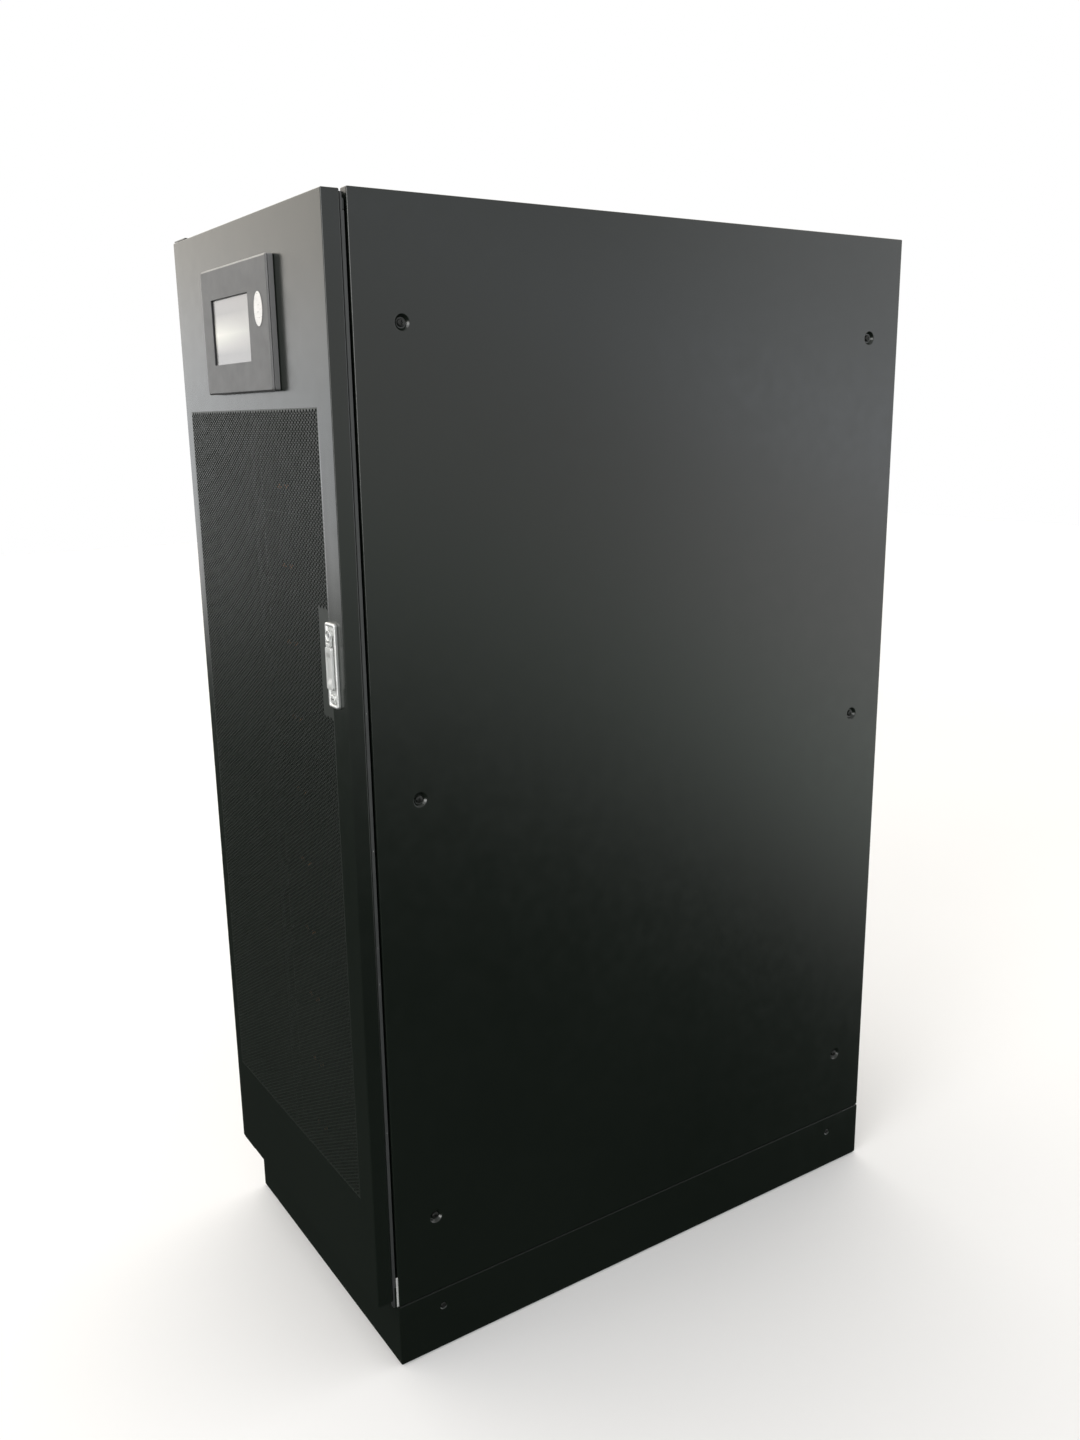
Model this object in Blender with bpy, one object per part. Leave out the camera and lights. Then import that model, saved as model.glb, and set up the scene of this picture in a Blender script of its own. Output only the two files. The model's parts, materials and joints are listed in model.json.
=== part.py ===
"""Battery rack cabinet: frame, covers, hinged ventilated door, display, swing handle and battery modules.

Metres, +Z up, front towards -Y. The origin is the middle of the footprint, on the floor.
"""
import math

import bmesh
import bpy
from mathutils import Matrix, Vector

# Overall size
WIDTH = 0.600
DEPTH = 1.100
HEIGHT = 1.800
HALF = WIDTH / 2
SHEET = 0.0015
PLATE = 0.002
GAP = 0.0003
OVERCUT = 0.010

# Display unit on the door, which is what stands furthest forward
BADGE_PROUD = 0.0135
BEZEL_PROUD = 0.0127
FRONT = BADGE_PROUD - (DEPTH + BADGE_PROUD) / 2
REAR = FRONT + DEPTH

# Heights
SKIRT_BOTTOM = 0.0030
PLINTH_TOP = 0.1105
COVER_BOTTOM = 0.1125
FLOOR_TRAY = (0.1110, 0.1500)
ROOF_TRAY = (1.7703, 1.7965)
DOOR_BOTTOM = 0.1275
DOOR_TOP = 1.7960

# Depths, measured back from the face of the door
DOOR_DEPTH = 0.0265
DOOR_RETURN = 0.020
LIP_FRONT = 0.0290
LIP_BACK = 0.0325
COVER_FRONT = 0.0366
RAIL_FACE = 0.1100
MODULE_FACE = 0.1065

# Base
BASE_WALL = 0.003
BASE_FLANGE = 0.040
SKIRT_CLEARANCE = 0.0006

# Frame posts and covers
WEB_OUT = 0.2780
POST_DEPTH = 0.061
POST_FLANGE = 0.030
COVER_DEPTH = 0.0205
COVER_RETURN = 0.014
DIMPLE_RADIUS = 0.0105
DIMPLE_FLOOR = 0.0085
DIMPLE_DEPTH = 0.0045
DIMPLE_SIDES = 14
COVER_SCREW_Z = (0.251, 0.957, 1.633)
COVER_SCREW_INSET = 0.0735
LIP_INSET = 0.001
LIP_TOP_DROP = 0.012
REAR_SETBACK = 0.023
REAR_COVER_SETBACK = 0.0015

# Cable entry in the floor
GLAND_FROM_REAR = 0.230
GLAND_OPENING_HALF = (0.160, 0.055)
GLAND_PLATE_HALF = (0.180, 0.075)
CABLE_SLOT_HALF = (0.060, 0.030)
CABLE_SLOT_X = 0.080

# Mounting rails and module guides
RAIL_INNER = 0.2250
RAIL_WEB = (0.2480, 0.2500)
RAIL_OUTER = 0.2755
RACK_END_GAP = 0.003
GUIDE_PLATE_IN = 0.2510
GUIDE_LEDGE_IN = 0.2050

# Ventilated field of the door, x counted from the hinge side
FIELD_X = (0.027, 0.553)
FIELD_Z = (0.300, 1.523)
FIELD_NOTCH_X = 0.523
FIELD_NOTCH_Z = (1.090, 1.245)

# Display unit
DISPLAY_X = (-0.142, 0.132)
DISPLAY_Z = (1.5475, 1.7345)
SCREEN_X = (-0.1010, 0.0540)
SCREEN_Z = (1.5920, 1.6880)
BEZEL_BACK = 0.0100
SCREEN_PROUD = (0.0052, 0.0097)
BOARD_PROUD = (0.0032, 0.0046)
HOUSING_DEPTH = 0.0089
HOUSING_STANDOFF = 0.0008
HOUSING_INSET = 0.0012
HOUSING_WALL = 0.002
CABLE_HOLE = 0.030
BADGE_CENTRE = (0.0955, 1.6620)
BADGE_HALF = (0.0160, 0.0240)

# Swing handle
HANDLE_X = 0.2645
HANDLE_Z = (1.106, 1.229)
HANDLE_HALF_WIDTH = 0.0158
HANDLE_FACE = 0.0050
SPINDLE_Z = 1.2110
SPINDLE_RADIUS = 0.0060
HEAD_RADIUS = 0.0085
CAM_RADIUS = 0.0140
LEVER_PIVOT_Z = 1.1990
LEVER_PIVOT_Y = 0.0072
LEVER_END_Z = 1.1330
LEVER_HALF_WIDTH = 0.0105
KNUCKLE_RADIUS = 0.0017
KNUCKLE_HALF_WIDTH = 0.0052
LEVER_PIN_RADIUS = 0.0010
LOCK_Z = 1.1190
LOCK_RADIUS = 0.0070
ROD_WIDTH = 0.010
ROD_THICK = 0.003
ROD_OFFSET = 0.0090
ROD_DEPTH = 0.0175
ROD_OVERLAP = 0.004
ROD_END_GAP = 0.0013
ROD_GUIDE_Z = (0.220, 1.640)
ROD_GUIDE_WALL = 0.004
ROD_GUIDE_HALF_HEIGHT = 0.010
RUNNING_FIT = 0.00008

# Door hinge
PIVOT_X = -0.2915
PIVOT_DEPTH = 0.0085
PIN_RADIUS = 0.00293
PIN_BORE = 0.0030
PIN_CLEARANCE = 0.0034
PIN_REACH = 0.024
BRACKET_X = (-0.2985, -0.2450)
BRACKET_FRONT = 0.002
BRACKET_BACK = 0.0355
BRACKET_STEP = 0.003
BRACKET_LEG = 0.0125

# Battery modules
MODULE_COUNT = 10
UNIT = 0.04445
MODULE_PITCH = 3 * UNIT
MODULE_HEIGHT = MODULE_PITCH - 0.003
MODULE_DEPTH = 0.600
MODULE_HALF_WIDTH = 0.2200
EAR_HALF_WIDTH = 0.2413
STACK_BOTTOM = 0.1560

# Switches on the control box
BREAKER_X = -0.120
BREAKER_HALF = (0.030, 0.045)
BREAKER_PROUD = 0.016
BREAKER_TILT = math.radians(25)
BREAKER_PIVOT_DEPTH = MODULE_FACE - 0.006
BUTTON_X = 0.060
BUTTON_RADIUS = 0.0080
BUTTON_PROUD = 0.0050

# Roof fans
FAN_X = 0.090
FAN_DEPTH = 0.800
FAN_SIZE = 0.150
FAN_BORE = 0.070
FAN_THICK = 0.038
FAN_TOP = ROOF_TRAY[1] - PLATE - GAP
FAN_BLADES = 7
FAN_HUB = 0.021
FAN_TIP = 0.067
SHAFT_RADIUS = 0.0025
SPOKE_THICK = 0.004
SPOKE_HALF = 0.003
ROOF_SLOTS = 7
ROOF_SLOT_PITCH = 0.018
ROOF_SLOT_HALF = 0.005

ROUND_SIDES = 24

COLOURS = {
    "powder_black": ((0.030, 0.031, 0.030), 0.45, 0.0),
    "powder_mesh": ((0.024, 0.025, 0.024), 0.50, 0.0),
    "zinc_steel": ((0.55, 0.56, 0.57), 0.35, 1.0),
    "handle_chrome": ((0.72, 0.73, 0.73), 0.18, 1.0),
    "bezel_plastic": ((0.070, 0.070, 0.068), 0.42, 0.0),
    "screen_glass": ((0.62, 0.63, 0.62), 0.12, 0.0),
    "badge_silver": ((0.78, 0.78, 0.76), 0.25, 1.0),
    "gasket_rubber": ((0.020, 0.020, 0.020), 0.85, 0.0),
    "module_case": ((0.10, 0.105, 0.11), 0.50, 0.0),
    "copper_bar": ((0.75, 0.38, 0.20), 0.30, 1.0),
    "fan_plastic": ((0.025, 0.025, 0.027), 0.55, 0.0),
    "switch_black": ((0.018, 0.018, 0.020), 0.40, 0.0),
    "button_green": ((0.05, 0.42, 0.14), 0.30, 0.0),
    "board_green": ((0.03, 0.22, 0.10), 0.50, 0.0),
}


def clear_scene():
    for item in list(bpy.data.objects):
        bpy.data.objects.remove(item, do_unlink=True)


def material(name):
    """The named finish, made on first use."""
    found = bpy.data.materials.get(name)
    if found:
        return found
    colour, roughness, metallic = COLOURS[name]
    made = bpy.data.materials.new(name)
    made.use_nodes = True
    shader = made.node_tree.nodes["Principled BSDF"]
    shader.inputs["Base Color"].default_value = (*colour, 1.0)
    shader.inputs["Roughness"].default_value = roughness
    shader.inputs["Metallic"].default_value = metallic
    return made


def at_depth(x, depth, z):
    """A point given by its distance behind the face of the door."""
    return Vector((x, FRONT + depth, z))


def finish(bm, name, finish_name, origin):
    """Turn a bmesh in world coordinates into an object whose origin is at the given point."""
    bmesh.ops.recalc_face_normals(bm, faces=bm.faces)
    bmesh.ops.translate(bm, verts=bm.verts, vec=-Vector(origin))
    mesh = bpy.data.meshes.new(name)
    bm.to_mesh(mesh)
    bm.free()
    made = bpy.data.objects.new(name, mesh)
    made.location = origin
    made.data.materials.append(material(finish_name))
    bpy.context.collection.objects.link(made)
    return made


def middle(points):
    low = Vector([min(p[i] for p in points) for i in range(3)])
    high = Vector([max(p[i] for p in points) for i in range(3)])
    return (low + high) / 2


def box(name, low, high, finish_name, origin=None):
    low = Vector(low)
    high = Vector(high)
    bm = bmesh.new()
    bmesh.ops.create_cube(bm, size=1.0)
    bmesh.ops.scale(bm, verts=bm.verts, vec=high - low)
    bmesh.ops.translate(bm, verts=bm.verts, vec=(low + high) / 2)
    return finish(bm, name, finish_name, origin or (low + high) / 2)


def loft(name, rings, finish_name, origin=None, closed=False):
    """Join rings of equal count in order; the ends are capped, or joined to each other when closed."""
    bm = bmesh.new()
    rows = []
    for ring in rings:
        rows.append([bm.verts.new(point) for point in ring])
    pairs = list(zip(rows, rows[1:]))
    if closed:
        pairs.append((rows[-1], rows[0]))
    else:
        bm.faces.new(rows[0])
        bm.faces.new(rows[-1])
    for first, second in pairs:
        count = len(first)
        for i in range(count):
            j = (i + 1) % count
            bm.faces.new((first[i], first[j], second[j], second[i]))
    points = [point for ring in rings for point in ring]
    return finish(bm, name, finish_name, origin or middle(points))


def prism(name, outline, start, end, axis, finish_name, origin=None):
    """Extrude an outline along X, Y or Z; its two values are the other two axes, in order."""
    def place(u, v, w):
        if axis == "X":
            return Vector((w, u, v))
        if axis == "Y":
            return Vector((u, w, v))
        return Vector((u, v, w))

    rings = [[place(u, v, w) for u, v in outline] for w in (start, end)]
    return loft(name, rings, finish_name, origin)


def lathe(name, profile, centre, axis, finish_name, sides=ROUND_SIDES, origin=None):
    """Turn (radius, height) steps about an axis through the centre; the first and last steps are capped."""
    turn = {"Y": Matrix.Rotation(-math.pi / 2, 3, "X"), "Z": Matrix.Identity(3)}[axis]
    rings = []
    for radius, height in profile:
        ring = []
        for i in range(sides):
            angle = 2 * math.pi * i / sides
            flat = Vector((radius * math.cos(angle), radius * math.sin(angle), height))
            ring.append(Vector(centre) + turn @ flat)
        rings.append(ring)
    made = loft(name, rings, finish_name, origin or centre)
    made.data.shade_smooth()
    made.data.set_sharp_from_angle(angle=math.radians(40))
    return made


def combine(target, tool, operation):
    """Join the tool to the target, or cut it out, and remove the tool."""
    modifier = target.modifiers.new(operation, "BOOLEAN")
    modifier.operation = operation
    modifier.solver = "EXACT"
    modifier.object = tool
    graph = bpy.context.evaluated_depsgraph_get()
    result = bpy.data.meshes.new_from_object(target.evaluated_get(graph))
    result.name = target.name
    target.modifiers.clear()
    target.data = result
    bpy.data.objects.remove(tool, do_unlink=True)


def cut_box(target, low, high):
    combine(target, box("cutter", low, high, "powder_black"), "DIFFERENCE")


def cut_round(target, centre, radius, start, end, axis, sides=ROUND_SIDES):
    profile = ((radius, start), (radius, end))
    combine(target, lathe("cutter", profile, centre, axis, "powder_black", sides), "DIFFERENCE")


def add_box(target, low, high):
    combine(target, box("addition", low, high, "powder_black"), "UNION")


def tray(name, u_span, v_span, depth, returned, place, finish_name, sheet=SHEET):
    """A folded sheet cover: a face at w = 0, four walls and, where asked, a return flange round the back.

    place(u, v, w) gives the world point, with w running from the face into the cabinet.
    """
    def ring(inset, w):
        u0, u1 = u_span[0] + inset, u_span[1] - inset
        v0, v1 = v_span[0] + inset, v_span[1] - inset
        return [place(u0, v0, w), place(u1, v0, w), place(u1, v1, w), place(u0, v1, w)]

    rings = [ring(sheet, sheet)]
    if returned:
        rings.append(ring(sheet, depth - sheet))
        rings.append(ring(returned, depth - sheet))
        rings.append(ring(returned, depth))
    else:
        rings.append(ring(sheet, depth))
    rings.append(ring(0.0, depth))
    rings.append(ring(0.0, sheet))
    rings.append(ring(sheet * 0.7, 0.0))
    return loft(name, rings, finish_name)


# Base


def base_frame():
    """Channel-section ring that the cabinet stands on, open towards the middle."""
    wall = BASE_WALL
    flange = BASE_FLANGE
    x = HALF - SHEET - SKIRT_CLEARANCE
    front = FRONT + COVER_FRONT + SHEET + SKIRT_CLEARANCE
    rear = REAR - SHEET - SKIRT_CLEARANCE

    def ring(inset, z):
        return [Vector((-x + inset, front + inset, z)), Vector((x - inset, front + inset, z)),
                Vector((x - inset, rear - inset, z)), Vector((-x + inset, rear - inset, z))]

    top = PLINTH_TOP
    rings = [ring(0, 0), ring(0, top), ring(flange, top), ring(flange, top - wall),
             ring(wall, top - wall), ring(wall, wall), ring(flange, wall), ring(flange, 0)]
    return loft("base_frame", rings, "powder_black", closed=True)


def skirts():
    low = SKIRT_BOTTOM
    top = PLINTH_TOP
    front = FRONT + COVER_FRONT
    for side, name in ((-1, "left_skirt"), (1, "right_skirt")):
        x = sorted((side * HALF, side * (HALF - SHEET)))
        box(name, (x[0], front, low), (x[1], REAR, top), "powder_black")
    x = HALF - SHEET - GAP
    box("front_skirt", (-x, front, low), (x, front + SHEET, top), "powder_black")
    box("rear_skirt", (-x, REAR - SHEET, low), (x, REAR, top), "powder_black")


# Frame


def front_lips(target, z_span):
    """The frame's front edge, which shows as a thin line between the door and each side cover."""
    for side in (-1, 1):
        x = sorted((side * (WEB_OUT - PLATE), side * (HALF - LIP_INSET)))
        add_box(target, (x[0], FRONT + LIP_FRONT, z_span[0]), (x[1], FRONT + LIP_BACK, z_span[1]))


def floor_tray():
    """The cabinet's floor, with walls up to the posts and an opening for the cables."""
    bottom, top = FLOOR_TRAY

    def place(u, v, w):
        return Vector((u, v, bottom + w))

    made = tray("floor_tray", (-WEB_OUT, WEB_OUT), (FRONT + LIP_FRONT, REAR - REAR_SETBACK), top - bottom,
                0.0, place, "powder_black", PLATE)
    half_x, half_y = GLAND_OPENING_HALF
    y = gland_centre()
    cut_box(made, (-half_x, y - half_y, bottom - OVERCUT), (half_x, y + half_y, bottom + OVERCUT))
    front_lips(made, (COVER_BOTTOM, top))
    return made


def gland_centre():
    return REAR - GLAND_FROM_REAR


def cable_gland_plate():
    """Loose plate over the floor's cable opening, with two slots for the cables."""
    z = FLOOR_TRAY[0] + PLATE + GAP
    y = gland_centre()
    plate_x, plate_y = GLAND_PLATE_HALF
    slot_x, slot_y = CABLE_SLOT_HALF
    made = box("cable_gland_plate", (-plate_x, y - plate_y, z), (plate_x, y + plate_y, z + PLATE),
               "powder_black")
    for side in (-1, 1):
        x = side * CABLE_SLOT_X
        cut_box(made, (x - slot_x, y - slot_y, z - OVERCUT), (x + slot_x, y + slot_y, z + OVERCUT))
    return made


def roof_tray():
    """The roof, with walls down to the posts and slots over the fans."""
    bottom, top = ROOF_TRAY

    def place(u, v, w):
        return Vector((u, v, top - w))

    made = tray("roof_tray", (-WEB_OUT, WEB_OUT), (FRONT + LIP_FRONT, REAR - REAR_SETBACK), top - bottom,
                0.0, place, "powder_black", PLATE)
    y = FRONT + FAN_DEPTH
    half = ROOF_SLOT_HALF
    for side in (-1, 1):
        for i in range(ROOF_SLOTS):
            offset = (i - (ROOF_SLOTS - 1) / 2) * ROOF_SLOT_PITCH
            reach = math.sqrt(FAN_BORE ** 2 - offset ** 2) - 0.004
            x = side * FAN_X + offset
            cut_box(made, (x - half, y - reach, top - OVERCUT), (x + half, y + reach, top + OVERCUT))
    front_lips(made, (bottom, top - LIP_TOP_DROP))
    return made


def posts():
    """Four upright channels; the front pair has the lip that shows beside the door."""
    bottom = FLOOR_TRAY[1] + GAP
    top = ROOF_TRAY[0] - GAP
    web_in = WEB_OUT - PLATE
    flange_in = WEB_OUT - POST_FLANGE
    front = FRONT + LIP_FRONT
    back = front + POST_DEPTH
    lip = FRONT + LIP_BACK
    edge = HALF - LIP_INSET
    outline = [(web_in, front), (edge, front), (edge, lip), (WEB_OUT, lip), (WEB_OUT, back),
               (flange_in, back), (flange_in, back - PLATE), (web_in, back - PLATE)]
    rear_back = REAR - REAR_SETBACK
    rear_front = rear_back - POST_DEPTH
    rear_outline = [(flange_in, rear_front), (WEB_OUT, rear_front), (WEB_OUT, rear_back),
                    (flange_in, rear_back), (flange_in, rear_back - PLATE), (web_in, rear_back - PLATE),
                    (web_in, rear_front + PLATE), (flange_in, rear_front + PLATE)]
    for side, word in ((-1, "left"), (1, "right")):
        for shape, place in ((outline, "front"), (rear_outline, "rear")):
            mirrored = [(side * x, y) for x, y in shape]
            prism("post_" + place + "_" + word, mirrored, bottom, top, "Z", "powder_black")


def dimple(target, centre, inward):
    """Press one screw recess into a cover: a cone that narrows to a flat floor."""
    turn = Vector((0, 0, 1)).rotation_difference(inward).to_matrix()

    def cone(name, start_radius, end_radius, start, end):
        rings = []
        for radius, along in ((start_radius, start), (end_radius, end)):
            ring = []
            for i in range(DIMPLE_SIDES):
                angle = 2 * math.pi * i / DIMPLE_SIDES
                flat = Vector((radius * math.cos(angle), radius * math.sin(angle), along))
                ring.append(centre + turn @ flat)
            rings.append(ring)
        return loft(name, rings, "powder_black")

    wall = SHEET
    boss = cone("boss", DIMPLE_RADIUS + wall, DIMPLE_FLOOR + wall, wall * 0.5, DIMPLE_DEPTH + wall)
    combine(target, boss, "UNION")
    recess = cone("recess", DIMPLE_RADIUS + 0.0004, DIMPLE_FLOOR, -0.001, DIMPLE_DEPTH)
    combine(target, recess, "DIFFERENCE")


def side_covers():
    """Two folded covers, each held by six screws in pressed recesses."""
    y_span = (FRONT + COVER_FRONT, REAR)
    for side, name in ((-1, "left_side_cover"), (1, "right_side_cover")):
        def place(u, v, w, side=side):
            return Vector((side * (HALF - w), u, v))

        made = tray(name, y_span, (COVER_BOTTOM, HEIGHT), COVER_DEPTH, COVER_RETURN, place, "powder_black")
        for y in (y_span[0] + COVER_SCREW_INSET, y_span[1] - COVER_SCREW_INSET):
            for z in COVER_SCREW_Z:
                dimple(made, Vector((side * HALF, y, z)), Vector((-side, 0, 0)))


def rear_cover():
    """The folded cover across the back, between the side covers."""
    half = WEB_OUT + 0.001

    def place(u, v, w):
        return Vector((u, REAR - REAR_COVER_SETBACK - w, v))

    made = tray("rear_cover", (-half, half), (COVER_BOTTOM, ROOF_TRAY[1]), COVER_DEPTH, COVER_RETURN,
                place, "powder_black")
    for x in (-half + COVER_SCREW_INSET, half - COVER_SCREW_INSET):
        for z in COVER_SCREW_Z:
            dimple(made, Vector((x, REAR - REAR_COVER_SETBACK, z)), Vector((0, -1, 0)))
    return made


# Rack


def rack_rails():
    """Z-section mounting rails behind the front posts; the modules' ears screw to them."""
    back = FRONT + LIP_FRONT + POST_DEPTH + GAP
    face = FRONT + RAIL_FACE
    for side, name in ((-1, "rack_rail_left"), (1, "rack_rail_right")):
        outline = [(RAIL_INNER, face), (RAIL_WEB[0], face), (RAIL_WEB[0], back), (RAIL_OUTER, back),
                   (RAIL_OUTER, back + PLATE), (RAIL_WEB[1], back + PLATE), (RAIL_WEB[1], face + PLATE),
                   (RAIL_INNER, face + PLATE)]
        mirrored = [(side * x, y) for x, y in outline]
        prism(name, mirrored, FLOOR_TRAY[1] + RACK_END_GAP, ROOF_TRAY[0] - RACK_END_GAP, "Z", "zinc_steel")


def stack_level(index):
    return STACK_BOTTOM + index * MODULE_PITCH


def module_guides():
    """Upright plates between the posts, with a ledge as deep as a module under each side of every unit."""
    ledge_in = GUIDE_LEDGE_IN
    plate_in = GUIDE_PLATE_IN
    plate_out = plate_in + PLATE
    bottom = FLOOR_TRAY[1] + RACK_END_GAP
    top = ROOF_TRAY[0] - RACK_END_GAP
    start = FRONT + RAIL_FACE + PLATE + 0.001
    ledge_end = FRONT + MODULE_FACE + MODULE_DEPTH
    end = REAR - REAR_SETBACK - POST_DEPTH - GAP
    for side, name in ((-1, "module_guide_left"), (1, "module_guide_right")):
        outline = [(plate_out, top), (plate_out, bottom), (plate_in, bottom)]
        for i in range(MODULE_COUNT + 1):
            ledge_top = stack_level(i) - GAP
            ledge_low = ledge_top - SHEET
            outline += [(plate_in, ledge_low), (ledge_in, ledge_low), (ledge_in, ledge_top),
                        (plate_in, ledge_top)]
        outline.append((plate_in, top))
        mirrored = [(side * x, z) for x, z in outline]
        made = prism(name, mirrored, start, ledge_end, "Y", "zinc_steel")
        x = sorted((side * plate_in, side * plate_out))
        add_box(made, (x[0], ledge_end - 0.010, bottom), (x[1], end, top))


def rack_unit(name, bottom, finish_name):
    """A sheet case with two mounting ears on its front plate."""
    face = FRONT + MODULE_FACE
    plate = face + 0.003
    back = face + MODULE_DEPTH
    ear = EAR_HALF_WIDTH
    body = MODULE_HALF_WIDTH
    outline = [(-ear, face), (ear, face), (ear, plate), (body, plate), (body, back),
               (-body, back), (-body, plate), (-ear, plate)]
    return prism(name, outline, bottom, bottom + MODULE_HEIGHT, "Z", finish_name)


def battery_modules():
    for i in range(MODULE_COUNT):
        rack_unit("battery_module_" + str(i + 1), stack_level(i), "module_case")


def control_level():
    return stack_level(MODULE_COUNT)


def control_middle():
    return control_level() + MODULE_HEIGHT / 2


def control_box():
    """Switchgear and battery management unit, with the main breaker and a start button on its face."""
    made = rack_unit("control_box", control_level(), "module_case")
    face = FRONT + MODULE_FACE
    z = control_middle()
    add_box(made, (BREAKER_X - BREAKER_HALF[0], face - BREAKER_PROUD, z - BREAKER_HALF[1]),
            (BREAKER_X + BREAKER_HALF[0], face + 0.001, z + BREAKER_HALF[1]))
    cut_box(made, (BREAKER_X - 0.009, face - BREAKER_PROUD - 0.005, z - 0.024),
            (BREAKER_X + 0.009, face - 0.0005, z + 0.024))
    cut_round(made, (BUTTON_X, face, z), BUTTON_RADIUS + RUNNING_FIT, -0.005, 0.012, "Y")
    return made


def breaker_lever():
    """The main breaker's toggle, resting in its upper position."""
    pivot = at_depth(BREAKER_X, BREAKER_PIVOT_DEPTH, control_middle())
    half = 0.0075
    profile = [(0.0030, -0.0035), (0.0030, 0.0035), (-0.0180, 0.0030), (-0.0180, -0.0030)]
    turned = []
    for y, z in profile:
        turned.append((pivot.y + y * math.cos(BREAKER_TILT) + z * math.sin(BREAKER_TILT),
                       pivot.z - y * math.sin(BREAKER_TILT) + z * math.cos(BREAKER_TILT)))
    return prism("breaker_lever", turned, BREAKER_X - half, BREAKER_X + half, "X", "switch_black", pivot)


def start_button():
    """Push button that slides in its bore in the control box."""
    centre = at_depth(BUTTON_X, MODULE_FACE, control_middle())
    profile = ((BUTTON_RADIUS - 0.0008, -BUTTON_PROUD), (BUTTON_RADIUS, -BUTTON_PROUD + 0.0008),
               (BUTTON_RADIUS, 0.006))
    return lathe("start_button", profile, centre, "Y", "button_green")


def busbars():
    """Two upright bars behind the modules that join their terminals."""
    front = FRONT + MODULE_FACE + MODULE_DEPTH + 0.010
    bottom = stack_level(0) + 0.020
    top = control_level() + 0.080
    for side, name in ((-1, "busbar_negative"), (1, "busbar_positive")):
        x = side * 0.120
        box(name, (x - 0.015, front, bottom), (x + 0.015, front + 0.005, top), "copper_bar")


# Roof fans


def fan(word, side):
    x = side * FAN_X
    y = FRONT + FAN_DEPTH
    half = FAN_SIZE / 2
    bottom = FAN_TOP - FAN_THICK
    housing = box("fan_housing_" + word, (x - half, y - half, bottom), (x + half, y + half, FAN_TOP),
                  "fan_plastic")
    cut_round(housing, (x, y, bottom), FAN_BORE, -OVERCUT, FAN_THICK + OVERCUT, "Z", 32)
    hub = lathe("hub", ((FAN_HUB, 0), (FAN_HUB, SPOKE_THICK)), (x, y, bottom), "Z", "fan_plastic")
    arm = FAN_BORE + 0.002
    low = bottom + 0.0002
    high = bottom + SPOKE_THICK - 0.0002
    add_box(hub, (x - arm, y - SPOKE_HALF, low), (x + arm, y + SPOKE_HALF, high))
    add_box(hub, (x - SPOKE_HALF, y - arm, low), (x + SPOKE_HALF, y + arm, high))
    combine(housing, hub, "UNION")
    cut_round(housing, (x, y, bottom), SHAFT_RADIUS + RUNNING_FIT, -OVERCUT, OVERCUT, "Z", ROUND_SIDES)
    fan_rotor(word, x, y, bottom)


def fan_rotor(word, x, y, bottom):
    """Hub, shaft and pitched blades."""
    start = bottom + 0.0055
    end = FAN_TOP - 0.004
    profile = ((SHAFT_RADIUS, bottom + 0.001), (SHAFT_RADIUS, start), (FAN_HUB - 0.001, start),
               (FAN_HUB - 0.001, end))
    centre = Vector((x, y, 0))
    rotor = lathe("fan_rotor_" + word, profile, centre, "Z", "fan_plastic",
                  origin=Vector((x, y, (start + end) / 2)))
    height = (start + end) / 2
    for i in range(FAN_BLADES):
        combine(rotor, blade(i, x, y, height), "UNION")


def blade(index, x, y, height):
    """One flat blade, pitched about its own length."""
    bm = bmesh.new()
    bmesh.ops.create_cube(bm, size=1.0)
    length = FAN_TIP - FAN_HUB + 0.005
    bmesh.ops.scale(bm, verts=bm.verts, vec=(length, 0.030, 0.0022))
    bmesh.ops.rotate(bm, verts=bm.verts, matrix=Matrix.Rotation(math.radians(38), 3, "X"))
    bmesh.ops.translate(bm, verts=bm.verts, vec=(FAN_TIP - length / 2, 0, 0))
    turn = Matrix.Rotation(2 * math.pi * (index + 0.3) / FAN_BLADES, 3, "Z")
    bmesh.ops.rotate(bm, verts=bm.verts, matrix=turn)
    bmesh.ops.translate(bm, verts=bm.verts, vec=(x, y, height))
    return finish(bm, "blade", "fan_plastic", (x, y, height))


# Door


def door_shell():
    """Folded door leaf with openings for the ventilated field, the display's cable and the handle."""
    def place(u, v, w):
        return at_depth(u, w, v)

    made = tray("door_shell", (-HALF, HALF), (DOOR_BOTTOM, DOOR_TOP), DOOR_DEPTH, DOOR_RETURN, place,
                "powder_black")
    left = FIELD_X[0] - HALF
    right = FIELD_X[1] - HALF
    notch = FIELD_NOTCH_X - HALF
    cut = OVERCUT
    cut_box(made, at_depth(left, -cut, FIELD_Z[0]), at_depth(notch, cut, FIELD_Z[1]))
    cut_box(made, at_depth(notch - cut, -cut, FIELD_Z[0]), at_depth(right, cut, FIELD_NOTCH_Z[0]))
    cut_box(made, at_depth(notch - cut, -cut, FIELD_NOTCH_Z[1]), at_depth(right, cut, FIELD_Z[1]))
    cut_cable_hole(made, -cut, cut)
    cut_box(made, at_depth(HANDLE_X - 0.011, -cut, HANDLE_Z[0] + 0.004),
            at_depth(HANDLE_X + 0.011, cut, HANDLE_Z[1] - 0.006))
    pivot = at_depth(PIVOT_X, PIVOT_DEPTH, 0)
    cut_round(made, pivot, PIN_CLEARANCE, DOOR_TOP - cut, DOOR_TOP + cut, "Z", 16)
    cut_round(made, pivot, PIN_CLEARANCE, DOOR_BOTTOM - cut, DOOR_BOTTOM + cut, "Z", 16)
    return made


def cut_cable_hole(target, start, end):
    middle_x = (DISPLAY_X[0] + DISPLAY_X[1]) / 2
    half = CABLE_HOLE / 2
    low = DISPLAY_Z[0] + 0.020
    cut_box(target, at_depth(middle_x - half, start, low), at_depth(middle_x + half, end, low + CABLE_HOLE))


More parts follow.
